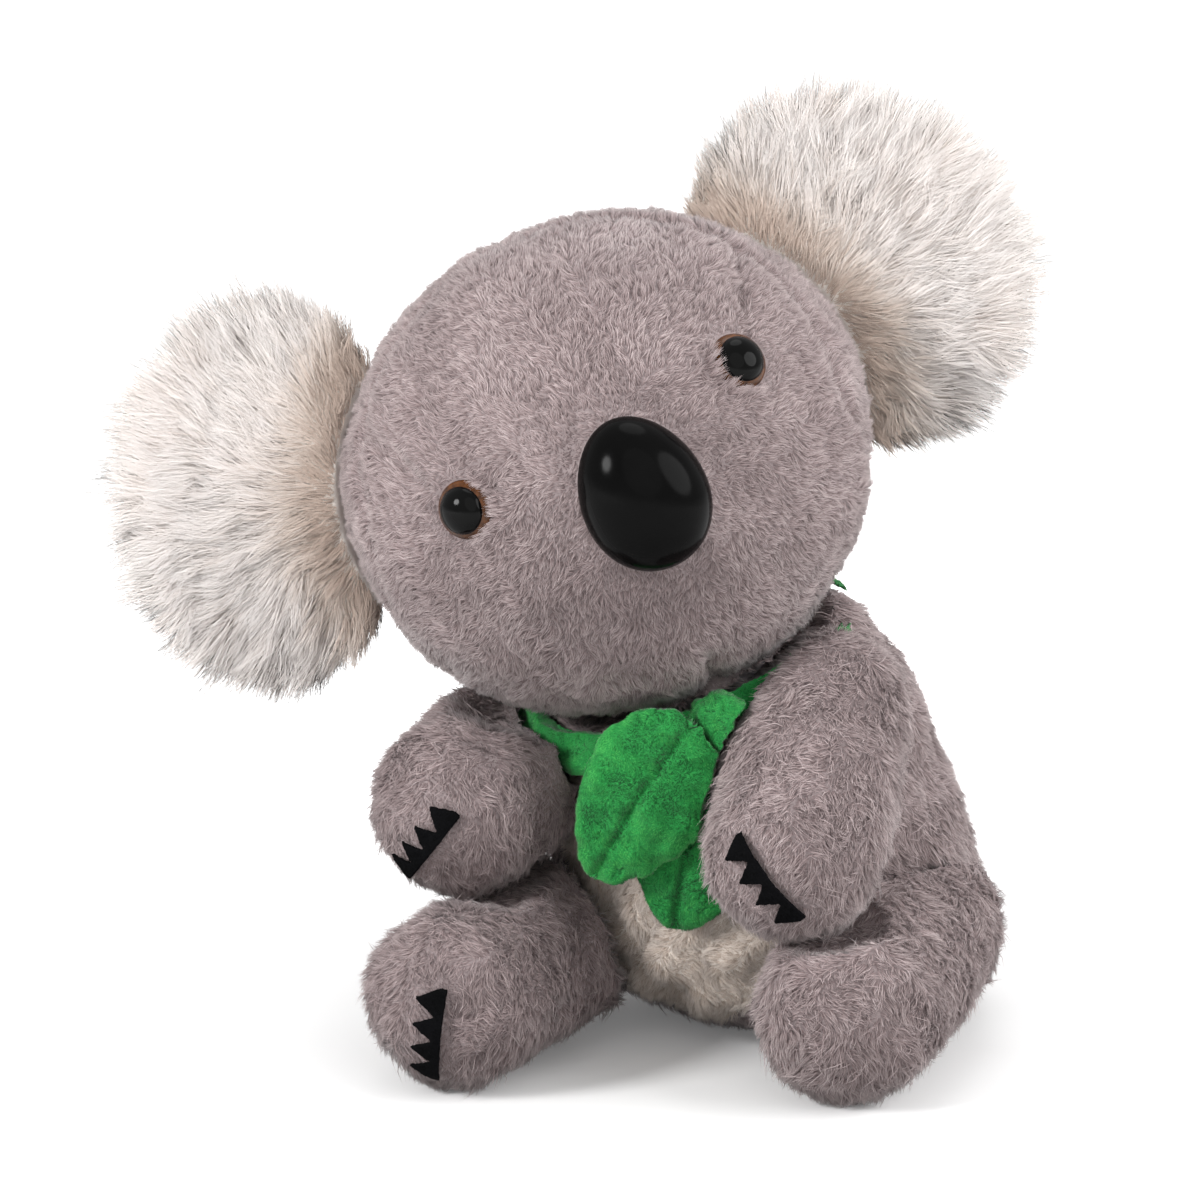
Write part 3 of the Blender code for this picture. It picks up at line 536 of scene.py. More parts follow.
def fur(name, surface, body, finish, slot, seed, per_cm2, length, flow, lean=50, width=0.26, clump=2.4,
        gather=0.45, swirl=0.4, ruffle=0.35, rows=1, trim=None, spread=0.3, tone=0.0, normal_share=0.6,
        floor=True, flat=1.0, uneven=0.16, facing=None, vary=0.15, mottle=0.07):
    """Strands over a surface. Lengths and widths are in mm. They grow along `flow`, in clumps that come
    together towards their tips. `trim` gives each strand's share of the length, and none grows at zero.
    `flat` says how much of the flow's upward part is left out, and `tone` may be a number or a function.
    `facing` gives the direction that each strand is shaded towards, in place of the surface's own. `vary`
    is how much the tone differs from strand to strand, and `mottle` from patch to patch."""
    rng = np.random.default_rng(seed)
    area = np.linalg.norm(surface.crosses(), axis=1).sum() / 2 * 1e4
    roots, normals = scatter(surface, int(area * per_cm2 * STRAND_DENSITY_SHARE), rng)
    share = np.ones(len(roots)) if trim is None else trim(roots, normals)
    kept = share > LEAST_SHARE
    roots, normals, share = roots[kept], normals[kept], share[kept]
    count = len(roots)
    across = unit(flow(roots, normals))
    across = unit(across - flat * normals * (across * normals).sum(axis=1, keepdims=True))
    angle = swirl * waves(roots, 0.018, seed + 1) + ruffle * waves(roots, 0.0045, seed + 6)
    angle += spread * rng.normal(size=count)
    side = np.cross(normals, across)
    across = across * np.cos(angle)[:, None] + side * np.sin(angle)[:, None]
    reach = length * MM * share * np.clip(1 + uneven * waves(roots, 0.009, seed + 2), 0.55, 1.25)
    reach *= rng.uniform(0.75, 1.12, count)
    tilt = np.radians(lean + 6 * waves(roots, 0.006, seed + 3) + 5 * rng.normal(size=count))
    tilt = np.clip(tilt, radians(8), radians(84))

    steps = np.linspace(0, 1, rows + 1)
    line = strand_lines(roots, normals, across, reach, tilt, steps)
    line = clumped(line, roots, steps, int(area / (clump * 0.1) ** 2), gather, rng)
    line += rng.normal(size=line.shape) * (STRAND_STRAY * reach)[:, None, None] * steps[None, :, None]
    shaded = normals if facing is None else facing(roots, normals)
    points, shading = strand_rings(line, normals, shaded, normal_share, width, steps, rng)
    if floor:
        points[:, :, 2] = np.maximum(points[:, :, 2], FLOOR_CLEARANCE)

    tones = 0.5 + (tone(roots) if callable(tone) else tone)
    tones = tones + 0.05 * waves(roots, 0.03, seed + 4) + mottle * waves(roots, 0.005, seed + 5)
    tones = np.clip(tones + vary * rng.normal(size=count), 0.03, 0.97)
    return piece(name, strand_mesh(name, points, shading, tones, steps), body, finish)


def steady(*way):
    """A flow that is the same everywhere."""
    return lambda points, normals: np.tile(way, (len(points), 1))


# Head

HEAD_NODES = ("head_face_panel", "head_back_panel", "head_stuffing")

# The head's seams, in mm in its frame
FACE_SEAM = [
    [(0, -14, 72), (-22, -17, 69), (-44, -21, 58), (-65, -24, 35), (-71, -28, 16), (-76, -22, -1),
     (-77, -2, -19)],
    [(0, -14, 72), (22, -17, 69), (44, -21, 58), (61, -24, 40), (70, -28, 19), (71, -33, 1), (69, -33, -15),
     (69, -6, -36)],
]
DARTS = [[(60, -27, 39), (56, -42, 28), (51, -53, 15)], [(-60, -27, 39), (-56, -42, 28), (-52, -52, 16)]]
CHIN = [[(0, -33, -65), (0, -20, -71), (-2, -10, -73), (-2, 20, -69)]]
BACK_SEAM = [[(0, -14, 72), (0, 20, 70), (0, 50, 50), (0, 68, 15), (0, 66, -20), (0, 50, -50)]]
STUDS = {
    "eye_right": stud_place(EYES["right"], EYE_SINK),
    "eye_left": stud_place(EYES["left"], EYE_SINK),
    "nose": stud_place(NOSE_AT, NOSE_SINK),
}


def seam_depth(points, lines, depth, width):
    """How far in a point lies for the seams near it, in mm, where `points` are in mm too."""
    total = np.zeros(len(points))
    for line in lines:
        total = np.maximum(total, depth * np.exp(-((near_line(points, line) / width) ** 2)))
    return total


def stud_shares(points, name):
    """Each point's place in the frame of an eye or the nose."""
    inverse = np.array(STUDS[name].inverted())
    return points @ inverse[:3, :3].T + inverse[:3, 3]


def stud_ovals(eye, wide, tall):
    """The eyes and the nose, each with half the width and height of an oval round it, in mm."""
    return ("eye_right", eye, eye), ("eye_left", eye, eye), ("nose", wide, tall)


FUR_DEPTH = 2.2
FABRIC_VOXEL = 0.0019


def head_surface():
    """The head as one skin, with the bumps of the eyes and the nose taken out."""
    made = remeshed(joined(*HEAD_NODES, "eye_left", "eye_right", "nose"), FABRIC_VOXEL)
    for name, wide, tall in stud_ovals(11, 20, 25):
        local = stud_shares(made.points, name) / MM
        inside = (local[:, 0] / wide) ** 2 + (local[:, 1] / tall) ** 2
        sink = (NOSE_SINK if name == "nose" else EYE_SINK) / MM
        over = (inside < 1) & (local[:, 2] > sink - 3)
        made.points[over] -= np.array(STUDS[name].col[2][:3]) * ((local[over, 2:3] - sink) * MM)
    return made.smooth(60)


def shape_head(made):
    """Draws the cloth in to make room for the fur, and further along the seams and round the eyes."""
    local = in_head(made.points) / MM
    depth = FUR_DEPTH + seam_depth(local, FACE_SEAM, 2.2, 2.2) + seam_depth(local, DARTS, 3.0, 2.4)
    depth += seam_depth(local, CHIN, 2.2, 2.8) + seam_depth(local, BACK_SEAM, 1.3, 2.4)
    depth += 0.4 * waves(made.points, 0.035, 11)
    for name in ("eye_right", "eye_left"):
        spot = stud_shares(made.points, name) / MM
        ring = np.hypot(spot[:, 0], spot[:, 1])
        depth += 0.8 * np.exp(-((ring / 11) ** 4)) * (np.abs(spot[:, 2]) < 15)
    return made.move(-depth * MM)


HEAD = shape_head(head_surface())
cover("head_fabric", HEAD, "head", GREY_BACKING_WITH_PAINTED_SHADE, HEAD_NODES)


def from_nose(points, normals):
    """Away from the nose, and a little down below it."""
    local = in_head(points)
    away = local - np.array((0.002, -0.080, -0.008))
    away[:, 2] -= 0.010
    return away @ TO_HEAD[:3, :3].T


def head_trim(points, normals):
    """Shorter along the seams and round the nose, none under the eyes and the nose, and longer on the side
    of each eye that is next to the nose, where the fur lies over the eye's edge."""
    local = in_head(points) / MM
    share = 1 - 0.30 * seam_depth(local, FACE_SEAM + DARTS + CHIN, 1, 2.0)
    forward = np.clip((-local[:, 1] - 10) / 50, 0, 1)
    share *= 1 - 0.12 * forward
    for name, wide, tall in stud_ovals(8.7, 17.0, 21.5):
        spot = stud_shares(points, name) / MM
        inside = np.sqrt((spot[:, 0] / wide) ** 2 + (spot[:, 1] / tall) ** 2)
        front = spot[:, 2] > -12
        share = np.where(front & (inside < 1), 0, share)
        near = front & (inside >= 1) & (inside < 1.40)
        if name == "nose":
            share = np.where(near, share * 0.75, share)
        else:
            to_nose = np.array(STUDS["nose"].translation - STUDS[name].translation)
            beside = (unit(points - np.array(STUDS[name].translation)) @ unit(to_nose)) > 0.25
            share = np.where(near, share * np.where(beside, 1.2, 0.55), share)
    return share


def head_tone_with_painted_shade(points):
    """Darker in the seams and close round the eyes and the nose: painted shade in these hollows."""
    local = in_head(points) / MM
    # painted shade along the seams and darts
    made = -0.05 - 0.30 * seam_depth(local, FACE_SEAM + DARTS, 1, 1.5)
    for name, wide, tall in stud_ovals(9.5, 18.5, 23):
        spot = stud_shares(points, name) / MM
        # painted shade in a ring round each eye and the nose
        edge = np.hypot(spot[:, 0] / wide, spot[:, 1] / tall) - 1
        made -= 0.16 * np.exp(-((edge / 0.22) ** 2)) * (spot[:, 2] > -12)
    return made


def several(name, surface, body, finish, slot, seed, pieces, way, **looks):
    """Fur in several pieces, split along a direction into parts of equal area."""
    middles = surface.points[surface.faces].mean(axis=1) @ np.array(way)
    areas = np.linalg.norm(surface.crosses(), axis=1)
    order = np.argsort(middles)
    bands = np.searchsorted(np.cumsum(areas[order]), areas.sum() * np.arange(1, pieces) / pieces)
    whole = surface.normals()
    for number, faces in enumerate(np.split(order, bands)):
        part = Surface(surface.points, surface.faces[faces])
        part.normals = lambda: whole
        fur(f"{name}_{number + 1}", part, body, finish, slot, seed + number * 10, **looks)


several("head_fur", HEAD, "head", GREY_FUR, "grey_plush", 100, 5, TO_HEAD[:3, 0],
        per_cm2=280, length=3.5, flow=from_nose, lean=58, width=0.31, clump=1.9, gather=0.55, swirl=0.40,
        ruffle=0.40, trim=head_trim, tone=head_tone_with_painted_shade, vary=0.15, mottle=0.045)

for number, side in enumerate(EYES):
    middle = np.array(STUDS["eye_" + side].translation)
    to_nose = unit(np.array(STUDS["nose"].translation) - middle)
    spot = stud_shares(HEAD.points, "eye_" + side) / MM
    ring = np.hypot(spot[:, 0], spot[:, 1])
    beside = (unit(HEAD.points - middle) @ to_nose > 0.3) & (np.abs(spot[:, 2]) < 12)
    edge = HEAD.part((ring > 7.5) & (ring < 11.5) & beside)
    fur(f"eye_{side}_edge_fur", edge, "head", GREY_FUR, "grey_plush", 160 + 10 * number, per_cm2=700,
        length=4.6, flow=from_nose, lean=54, width=0.28, clump=1.9, gather=0.5, swirl=0.3, ruffle=0.2,
        tone=-0.02)

# Body

BODY_NODES = ("torso_skin", "torso_stuffing", "belly_panel")
BELLY_CENTRE = np.array((-0.0078, 0.056))
BELLY_SIZES = np.array((0.043, 0.050))
RESTING_BELOW = 0.004
BARE_BELOW = 0.0015
PLUSH = dict(per_cm2=220, length=4.2, lean=60, width=0.32, clump=2.6, gather=0.55)
WISPS = dict(lean=62, width=0.26, clump=4.0, gather=0.6, swirl=0.8, rows=2)


def draw_in(made, depth):
    """Moves a surface in by a depth in mm, but hardly where the toy rests on the floor."""
    low = np.clip((RESTING_BELOW - made.points[:, 2]) / RESTING_BELOW, 0, 1)
    return made.move(-depth * (1 - 0.9 * low) * MM)


def in_belly(points):
    """How far out of the belly's oval each point lies: below 1 is inside it."""
    away = (points[:, [0, 2]] - BELLY_CENTRE) / BELLY_SIZES
    front = points[:, 1] < -0.20 * points[:, 2] - 0.006
    return np.where(front, np.hypot(away[:, 0], away[:, 1]), 9.0)


BODY_WHOLE = remeshed(joined(*BODY_NODES), FABRIC_VOXEL).smooth(40)


def shape_body():
    """Draws the cloth in to make room for the fur, and further under the belly's panel and at its seam."""
    made = Surface(BODY_WHOLE.points, BODY_WHOLE.faces)
    depth = 1.8 + 0.5 * waves(made.points, 0.03, 21)
    edge = in_belly(made.points)
    depth = depth + 3.4 * (edge < 1.0) + 1.2 * np.exp(-(((edge - 1) / 0.06) ** 2))
    return draw_in(made, depth)


BODY = shape_body()
cover("torso_fabric", BODY, "body", GREY_BACKING_WITH_PAINTED_SHADE, ("torso_skin", "torso_stuffing"))


def make_belly():
    """The pale panel: a lens of its own, puffed, with folds at its lower end."""
    made = Surface(BODY_WHOLE.points, BODY_WHOLE.faces)
    inside = made.part(in_belly(made.points) < 0.99)
    normals = inside.normals()
    edge = in_belly(inside.points)
    puff = 1.0 * (1 - edge**4) - 2.6
    height = inside.points[:, 2]
    low = np.clip((0.050 - height) / 0.040, 0, 1)
    folds = (0.35 + low) * 0.8 * waves(inside.points * np.array((1, 0.3, 1.6)), 0.020, 31)
    outer = inside.points + normals * ((puff + folds) * MM)[:, None]
    inner = inside.points - normals * 5.0 * MM
    count = len(outer)
    ends = ends_of(inside.faces)
    _, index, uses = np.unique(np.sort(ends, axis=1), axis=0, return_index=True, return_counts=True)
    rim = ends[index[uses == 1]]
    sides = np.concatenate([
        np.stack([rim[:, 1], rim[:, 0], rim[:, 0] + count], axis=1),
        np.stack([rim[:, 1], rim[:, 0] + count, rim[:, 1] + count], axis=1),
    ])
    faces = np.concatenate([inside.faces, inside.faces[:, ::-1] + count, sides])
    cover("belly_fabric", Surface(np.concatenate([outer, inner]), faces), "body", WHITE_BACKING,
          ("belly_panel",))
    return Surface(outer, inside.faces)


def down_out(points, normals):
    """Down the body, and away from the middle of the belly."""
    return np.array((0.0, 0.0, -1.0)) + 0.25 * normals * np.array((1, 1, 0))


BAND = joined("scarf_band").tree()


def body_trim(points, normals):
    """None on the belly and on the floor. The scarf's band presses it down, and sinks into it over the left
    shoulder."""
    share = np.where(in_belly(points) < 0.985, 0.0, 1.0)
    share = np.where(points[:, 2] < BARE_BELOW, 0.0, share)
    for number in np.flatnonzero(points[:, 2] > 0.08):
        x, y, _ = points[number]
        over = x > 0.012 and -0.062 < y < -0.012
        if BAND.find_nearest(Vector(points[number]), 0.008 if over else 0.004)[0] is not None:
            share[number] = 1.9 if over else 0.5
    return share


BELLY = make_belly()
several("torso_fur", BODY, "body", GREY_FUR, "grey_plush", 200, 4, (1, 0, 0),
        flow=down_out, swirl=0.6, trim=body_trim, tone=-0.05, **PLUSH)
several("torso_wisps", BODY, "body", GREY_FUR, "grey_plush", 240, 2, (1, 0, 0),
        per_cm2=12, length=5.6, flow=down_out, trim=body_trim, tone=0.06, **WISPS)
fur("belly_fur", BELLY, "body", BELLY_FUR, "belly_plush", 260, per_cm2=340, length=4.0, flow=down_out,
    lean=54, clump=2.8, gather=0.5, swirl=0.9, vary=0.11)

# Limbs

LIMB_VOXEL = 0.0016
FELT_VOXEL = 0.0004
# Painted shade on the limbs' fur, deepest on the right limbs, which lie on the far side in the head's
# shadow.
LEFT_LIMB_PAINTED_SHADE = -0.07
RIGHT_LIMB_PAINTED_SHADE = -0.20


def limb_flow(name):
    """Along the limb, and down over its end."""
    start, end = (np.array(spot) for spot in LIMBS[name])
    along = unit(end - start)

    def flow(points, normals):
        ahead = np.clip(((points - end) @ along) / 0.02, 0, 1)[:, None]
        return along * (1 - ahead) + np.array((0, 0, -0.8)) * ahead + np.array((0, 0, -0.35))

    return flow


def limb_trim(name):
    """Shorter round the claws and next to the scarf's band, and none where the limb rests on the floor."""
    tree = joined(name + "_claws").tree()

    def trim(points, normals):
        share = np.ones(len(points))
        for number, point in enumerate(points):
            hit = tree.find_nearest(Vector(point), 0.007)
            if hit[0] is not None:
                share[number] = 0.45 if hit[3] < 0.0050 else 0.85
            elif BAND.find_nearest(Vector(point), 0.009)[0] is not None:
                share[number] = 0.4
        return np.where(points[:, 2] < BARE_BELOW, 0.0, share)

    return trim


for number, name in enumerate(LIMBS):
    nodes = (name + "_skin", name + "_stuffing")
    limb = remeshed(joined(*nodes), LIMB_VOXEL).smooth(30)
    draw_in(limb, 1.6 + 0.4 * waves(limb.points, 0.022, 40 + number))
    cover(name + "_fabric", limb, name, GREY_BACKING_WITH_PAINTED_SHADE, nodes)
    # painted shade for this limb's fur and wisps
    limb_painted_shade = LEFT_LIMB_PAINTED_SHADE if "left" in name else RIGHT_LIMB_PAINTED_SHADE
    shared = dict(flow=limb_flow(name), trim=limb_trim(name))
    fur(name + "_fur", limb, name, GREY_FUR, "grey_plush", 300 + 20 * number,
        swirl=0.7, tone=limb_painted_shade, **PLUSH, **shared)
    fur(name + "_wisps", limb, name, GREY_FUR, "grey_plush", 310 + 20 * number,
        per_cm2=18, length=6.2, tone=limb_painted_shade + 0.08, **WISPS, **shared)
    felt = remeshed(joined(name + "_claws"), FELT_VOXEL).smooth(1)
    felt.move(0.06 * MM * waves(felt.points, 0.002, 60 + number))
    cover(name + "_claw_felt", felt, name, BLACK_FELT, (name + "_claws",))
    fur(name + "_claw_fuzz", felt, name, FELT_FUZZ, "black_felt", 400 + number, per_cm2=500, length=0.5,
        flow=steady(0.3, 0.2, -1.0), lean=55, width=0.10, clump=1.2, gather=0.3, swirl=1.5)

# Neck

neck = remeshed(joined("neck_stuffing"), FABRIC_VOXEL).smooth(20).move(-0.3 * MM)
neck.move(0.25 * MM * waves(neck.points, 0.012, 71))
cover("neck_fabric", neck, "neck", NECK_CLOTH, ("neck_stuffing",))

# Ears

# How far the cloth is drawn in along and across an ear, and where its root moves to from the head's surface
EAR_LONG = {"left": 0.95, "right": 0.87}
EAR_THICK = 0.50
EAR_FROM = 1.012
EAR_TO = 0.975
EAR_SHORTER_ABOVE = 0.266


def outness(points):
    """How far out a point lies, where 1 is the head's own surface."""
    return np.linalg.norm(in_head(points) / HEAD_SIZES, axis=1)


def ear_base(side):
    """The cloth of an ear: its solid drawn in towards the head, the middle line and the middle plane."""
    nodes = (f"ear_{side}_front", f"ear_{side}_back")
    made = remeshed(joined(*nodes), FABRIC_VOXEL).smooth(25)
    local = in_head(made.points)
    centre = EARS[side]
    wide, deep, tall = HEAD_SIZES
    out = EAR_TO + (outness(made.points) - EAR_FROM) * EAR_LONG[side]
    middle = np.arctan2(centre.z, centre.x)
    angle = np.arctan2(local[:, 2], local[:, 0]) - middle
    angle = middle + ((angle + pi) % (2 * pi) - pi)
    back = centre.y + (local[:, 1] - centre.y) * EAR_THICK
    flat = (np.cos(angle) / wide) ** 2 + (np.sin(angle) / tall) ** 2
    reach = np.sqrt(np.maximum(out**2 - (back / deep) ** 2, 0) / flat)
    cupped = 0.006 * np.exp(-(((reach - np.hypot(*centre.xz)) / 0.022) ** 2)) * (local[:, 1] < centre.y)
    local = np.stack([reach * np.cos(angle), back + cupped, reach * np.sin(angle)], axis=1)
    made.points = out_of_head(local)
    return made, nodes, middle


def ear_flow(middle):
    """Out of the ear's root in the ear's plane, with the hair of the front and back opening out."""
    root = np.array((cos(middle) * 0.066, 0.008, sin(middle) * 0.062))

    def flow(points, normals):
        away = in_head(points) - root
        away[:, 1] *= 0.2
        return away @ TO_HEAD[:3, :3].T

    return flow


def ear_trim(points, normals):
    """Shorter next to the head and near the ear's top, and none on the side that faces the head."""
    share = 0.55 + 0.45 * np.clip((outness(points) - 1.02) / 0.25, 0, 1)
    share *= 1 - 0.35 * np.clip((points[:, 2] - EAR_SHORTER_ABOVE) / 0.012, 0, 1)
    inward = (normals * unit(points - np.array(HEAD_CENTRE))).sum(axis=1) < -0.55
    return np.where(inward, 0, share)


def ear_facing(side):
    """The way that the front or the back of an ear faces, so that its hair is lit as one soft mass."""

    def facing(points, normals):
        front = np.clip((EARS[side].y - in_head(points)[:, 1]) / 0.004, -1, 1)
        ahead = TO_HEAD[:3, :3] @ np.array((0, -1, 0))
        amount = np.where(front > 0, 0.8 * front, 0.15 * front)
        return unit(normals * 0.40 + ahead * amount[:, None] + np.array((0, 0, 0.40)))

    return facing


def ear_tone_with_painted_shade(points):
    """Warmer and darker next to the head: painted shade where the ear meets the head."""
    # painted warm shade near the ear's root
    return 0.12 - 0.72 * np.exp(-(((outness(points) - 0.98) / 0.17) ** 2))


for number, side in enumerate(EARS):
    ear, nodes, middle = ear_base(side)
    body = "ear_" + side
    cover(f"ear_{side}_fabric", ear, body, EAR_BACKING, nodes)
    shared = dict(flow=ear_flow(middle), trim=ear_trim, tone=ear_tone_with_painted_shade, facing=ear_facing(side), floor=False,
                  flat=0.0)
    several(f"ear_{side}_fur", ear, body, EAR_FUR, "ear_plush", 500 + 50 * number, 2, TO_HEAD[:3, 1],
            per_cm2=260, length=14, lean=70, width=0.27, clump=4.0, gather=0.35, swirl=0.25, ruffle=0.15,
            spread=0.2, rows=2, normal_share=0.93, vary=0.07, mottle=0.04, **shared)
    fur(f"ear_{side}_wisps", ear, body, EAR_FUR, "ear_plush", 530 + 50 * number,
        per_cm2=36, length=16.8, lean=66, width=0.20, clump=7.0, gather=0.8, swirl=0.35, ruffle=0.1,
        spread=0.15, rows=3, normal_share=0.9, uneven=0.30, vary=0.10, mottle=0.05, **shared)

# Scarf

# The scarf's pieces, each with the strands of its pile per square centimetre
SCARF = {"scarf_band": 400, "scarf_knot": 640, "leaf_front": 640, "leaf_rear": 640}

# The root and the tip of each leaf
LEAVES = {
    "leaf_front": ((0.0090, -0.0810, 0.1085), (-0.0170, -0.0950, 0.0600)),
    "leaf_rear": ((0.0110, -0.0761, 0.0930), (0.0010, -0.0780, 0.0430)),
}
LEAF_FACING = unit(np.array((0.45, -0.87, 0.10)))
VELOUR_VOXEL = 0.0006
CREASE_SIZE = 0.0060


def creases(points):
    """Near 1 on thin broken lines, as where the pile of crushed velour parts."""
    line = np.exp(-((waves(points, CREASE_SIZE, 92) / 0.20) ** 2))
    return line * np.clip(0.55 + waves(points, CREASE_SIZE * 2.6, 93), 0, 1)


def leaf_place(name):
    """How far along a leaf and how far to the side of its middle line each point lies."""
    root, tip = (np.array(spot) for spot in LEAVES[name])
    along = (tip - root) / ((tip - root) @ (tip - root))
    across = unit(np.cross(tip - root, LEAF_FACING))

    def place(points):
        share = (points - root) @ along
        return share, (points - root) @ across - 0.0016 * np.sin(pi * np.clip(share, 0, 1))

    return place


def groove(side):
    """The crease down the middle of a leaf: near 1 on its line, and below 0 on the puffed halves."""
    return np.exp(-((side / 0.0016) ** 2)) - 0.35 * np.exp(-(((np.abs(side) - 0.008) / 0.005) ** 2))


def velour_tone_with_painted_light(name):
    """Painted shade in the creases, in a leaf's middle fold and near its root, and a painted sheen at its
    tip and its rims.
    """

    def tone(points):
        # patches of random tone, and painted shade in the creases of the crushed velour
        made = 0.15 * waves(points, 0.013, 91) - 0.80 * creases(points)
        if name in LEAVES:
            share, side = leaf_place(name)(points)
            rim = np.clip((np.abs(side) - 0.010) / 0.007, 0, 1)
            # painted sheen along the rims and towards the tip
            made += 0.42 * rim + 0.35 * np.clip((share - 0.7) / 0.3, 0, 1)
            # painted shade near the root and in the middle fold
            made -= 0.20 * np.clip((0.6 - share) / 0.6, 0, 1) + 0.30 * np.clip(groove(side), 0, 1)
        return made

    return tone


TORSO = BODY.tree()


def velour_trim(points, normals):
    """Shorter in the creases, and none where the scarf lies in the fur of the torso."""
    share = 1 - 0.5 * creases(points)
    for number, point in enumerate(points):
        if TORSO.find_nearest(Vector(point), 0.002)[0] is not None:
            share[number] = 0
    return share


for number, (name, density) in enumerate(SCARF.items()):
    velour = remeshed(joined(name), VELOUR_VOXEL).smooth(14)
    velour.move(-0.7 * MM + 0.35 * MM * waves(velour.points, 0.009, 80 + number))
    relief = -0.40 * MM * creases(velour.points)
    if name in LEAVES:
        facing = np.abs(velour.normals() @ LEAF_FACING) > 0.35
        relief -= 1.5 * MM * groove(leaf_place(name)(velour.points)[1]) * facing
    velour.move(relief)
    body = "leaf_front" if name == "leaf_front" else "body"
    cover(name + "_velour", velour, body, GREEN_VELOUR, (name,))
    fur(name + "_pile", velour, body, GREEN_FUR, "green_plush", 600 + 10 * number, per_cm2=density,
        length=0.8, flow=steady(-0.2, 0.0, -1.0), lean=58, width=0.20, clump=1.2, gather=0.3, swirl=1.0,
        ruffle=0.6, tone=velour_tone_with_painted_light(name), trim=velour_trim, vary=0.22, mottle=0.12)

# Eyes and nose


def lathe(profile, sides=48, stretch=None):
    """A closed round body from (radius, height) pairs in mm, the first and last on the axis."""
    profile = np.array(profile, float) * MM
    points = [(0, 0, profile[0][1])]
    for radius, height in profile[1:-1]:
        for step in range(sides):
            angle = 2 * pi * step / sides
            points.append((radius * cos(angle), radius * sin(angle), height))
    points.append((0, 0, profile[-1][1]))
    faces = []
    rings = len(profile) - 2
    for step in range(sides):
        after = (step + 1) % sides
        faces.append((0, 1 + after, 1 + step))
        for ring in range(rings - 1):
            a = 1 + ring * sides
            b = a + sides
            faces += [(a + step, a + after, b + after), (a + step, b + after, b + step)]
        last = 1 + (rings - 1) * sides
        faces.append((last + step, last + after, len(points) - 1))
    points = np.array(points)
    if stretch is not None:
        points = stretch(points)
    return Surface(points, faces)


def arc(radius, height, start, steps=14):
    """Points of a quarter oval from above its foot up to below its top."""
    turns = np.linspace(0, pi / 2, steps)[1:-1]
    return [(radius * cos(t), start + height * sin(t)) for t in turns]


def placed(surface, place):
    matrix = np.array(place)
    surface.points = surface.points @ matrix[:3, :3].T + matrix[:3, 3]
    return surface


for side in EYES:
    place = STUDS["eye_" + side]
    iris = lathe([(0, -8.4), (2.2, -8.4), (2.2, -0.2), (7.9, -0.2), (8.45, 0.2)] + arc(8.5, 4.3, 0.5)
                 + [(0, 4.8)])
    pupil = lathe([(0, 1.5), (6.3, 1.5), (6.9, 2.0)] + arc(6.9, 4.6, 2.3) + [(0, 6.95)])
    piece(f"eye_{side}_iris", mesh_from("iris", placed(iris, place)), "head", IRIS_BROWN,
          ("eye_" + side,))
    piece(f"eye_{side}_pupil", mesh_from("pupil", placed(pupil, place)), "head", PUPIL_BLACK)


def nose_stretch(points):
    """Makes the round nose taller than it is wide, and narrower at its top."""
    wider = 1 - 0.10 * np.clip(points[:, 1] / 0.018, -1, 1)
    out = points.copy()
    top = points[:, 2] > -0.001
    out[:, 0] = np.where(top, points[:, 0] * wider, points[:, 0])
    out[:, 1] = np.where(top, points[:, 1] * 22.5 / 18, points[:, 1])
    return out


nose = lathe([(0, -8.4), (3.0, -8.4), (3.0, -1.2), (3.2, 0.0), (16.5, 0.0), (17.6, 0.4)]
             + arc(18, 15.4, 0.6, 26) + [(0, 16.0)], 64, nose_stretch)
piece("nose_dome", mesh_from("nose_dome", placed(nose, STUDS["nose"])), "head", NOSE_BLACK,
      ("nose",))
for name in ("eye_left_washer", "eye_right_washer", "nose_washer"):
    NODES[name].data.materials.clear()
    NODES[name].data.materials.append(WASHER_CLEAR)

# Stage, lights and camera

TARGET = Vector((-0.052, -0.030, 0.126))
CAMERA_AZIMUTH = radians(30)
CAMERA_ELEVATION = radians(13)
CAMERA_DISTANCE = 1.400


def camera():
    data = bpy.data.cameras.new("camera")
    data.lens = 140
    data.sensor_width = 36
    data.clip_start = 0.05
    data.clip_end = 30
    made = object_from("camera", data)
    level = cos(CAMERA_ELEVATION)
    back = Vector((sin(CAMERA_AZIMUTH) * level, -cos(CAMERA_AZIMUTH) * level, sin(CAMERA_ELEVATION)))
    made.location = TARGET + back * CAMERA_DISTANCE
    made.rotation_mode = "QUATERNION"
    made.rotation_quaternion = (-back).to_track_quat("-Z", "Y")
    bpy.context.scene.camera = made


def area_lamp(name, place, size, watts):
    data = bpy.data.lights.new(name, "AREA")
    data.shape = "DISK"
    data.size = size
    data.energy = watts
    made = object_from(name, data)
    made.location = place
    made.rotation_mode = "QUATERNION"
    made.rotation_quaternion = (TARGET - Vector(place)).to_track_quat("-Z", "Y")


def seen_directly(nodes, links):
    """1 for what the camera sees straight, or in a gloss or through glass."""
    path = nodes.new("ShaderNodeLightPath")
    value = path.outputs["Is Camera Ray"]
    for name in ("Is Glossy Ray", "Is Transmission Ray"):
        value = math_node(nodes, links, "MAXIMUM", value, path.outputs[name])
    return value


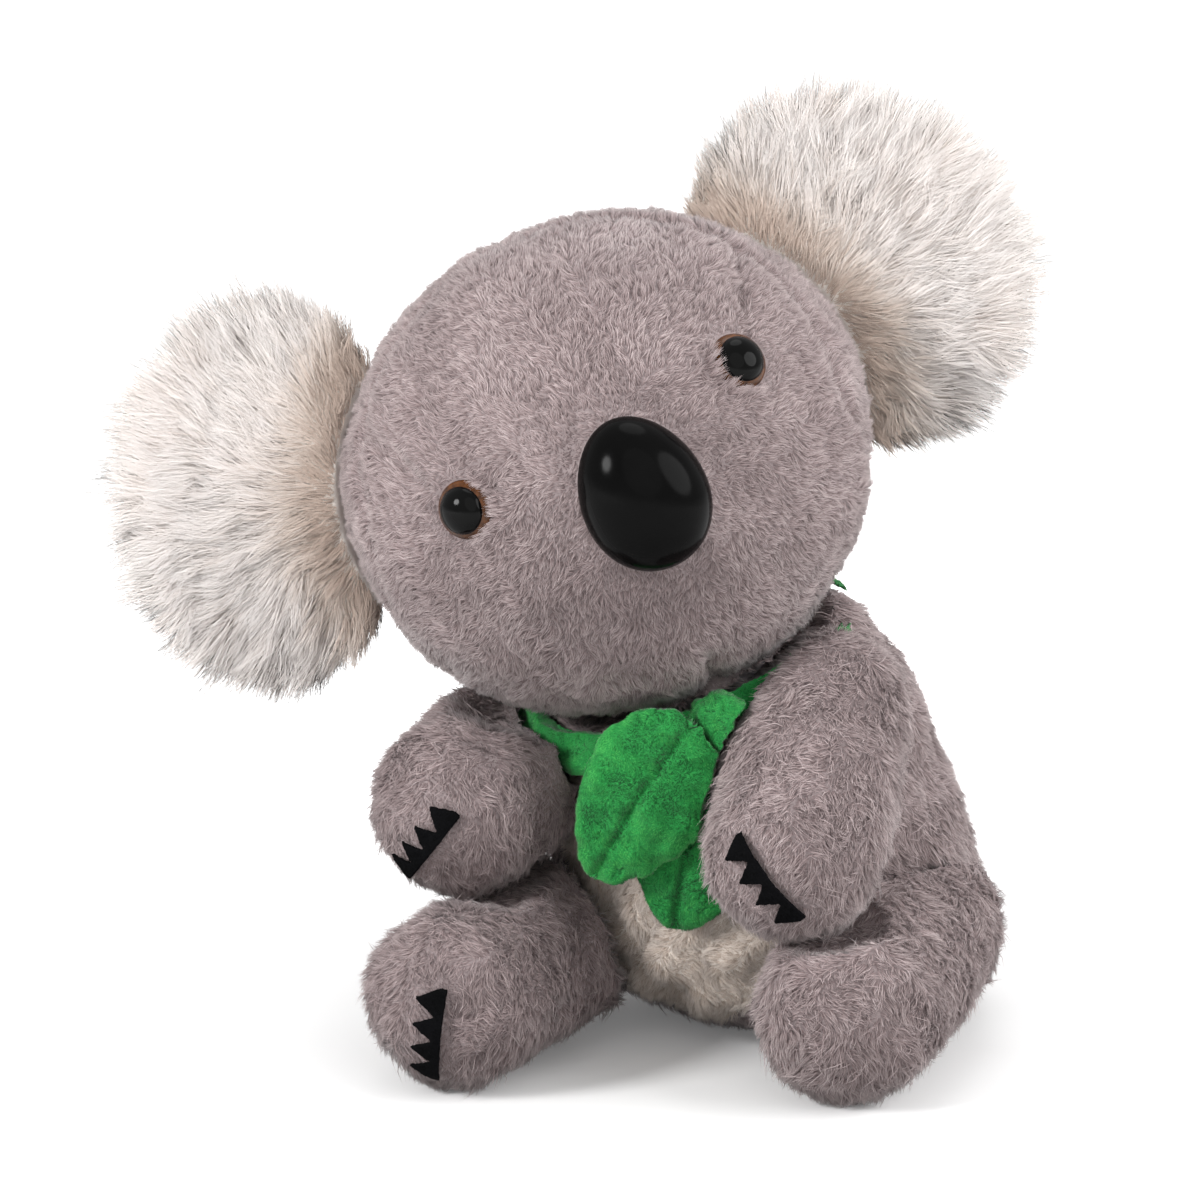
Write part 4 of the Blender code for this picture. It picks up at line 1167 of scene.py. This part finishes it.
FLOOR_SEEN = 0.95
FLOOR_LIT = 0.54
WORLD_SEEN = 1.0
WORLD_LIT = 0.48
BOOST_NEAR, BOOST_FAR = 0.10, 1.0
BOOST_FROM, BOOST_TO = 0.12, 0.38


def make_floor():
    """A white floor that keeps the shadow under the toy and grows brighter away from it."""
    made, nodes, links, shader = material("floor")
    seen = seen_directly(nodes, links)
    white = range_node(nodes, links, seen, FLOOR_LIT, FLOOR_SEEN)
    links.new(white.outputs[0], shader.inputs["Base Color"])
    set_values(shader, {"Roughness": 1.0, "Specular IOR Level": 0.0, "Emission Color": (1, 1, 1, 1)})
    place = nodes.new("ShaderNodeTexCoord").outputs["Object"]
    away = nodes.new("ShaderNodeVectorMath")
    away.operation = "LENGTH"
    links.new(place, away.inputs[0])
    boost = range_node(nodes, links, away.outputs["Value"], BOOST_NEAR, BOOST_FAR)
    boost.interpolation_type = "SMOOTHSTEP"
    set_values(boost, {"From Min": BOOST_FROM, "From Max": BOOST_TO})
    both = math_node(nodes, links, "MULTIPLY", seen, boost.outputs[0])
    links.new(both, shader.inputs["Emission Strength"])
    half = 6.0
    corners = [(-half, -half, 0), (half, -half, 0), (half, half, 0), (-half, half, 0)]
    mesh = bpy.data.meshes.new("floor")
    mesh.from_pydata(corners, [], [(0, 1, 2, 3)])
    mesh.materials.append(made)
    object_from("floor", mesh)


def make_world():
    world = bpy.data.worlds.new("world")
    bpy.context.scene.world = world
    world.use_nodes = True
    nodes, links = world.node_tree.nodes, world.node_tree.links
    shader = nodes["Background"]
    shader.inputs["Color"].default_value = (1, 1, 1, 1)
    level = range_node(nodes, links, seen_directly(nodes, links), WORLD_LIT, WORLD_SEEN)
    links.new(level.outputs[0], shader.inputs["Strength"])


camera()
make_floor()
make_world()
area_lamp("key", (-0.65, -1.40, 0.80), 0.50, 22)
area_lamp("fill", (0.90, -1.20, 0.95), 1.8, 6)
area_lamp("side", (1.35, 0.15, 0.85), 1.2, 19)
area_lamp("top", (-0.1, 0.25, 1.6), 0.9, 5)
bpy.context.scene.view_settings.view_transform = "Standard"
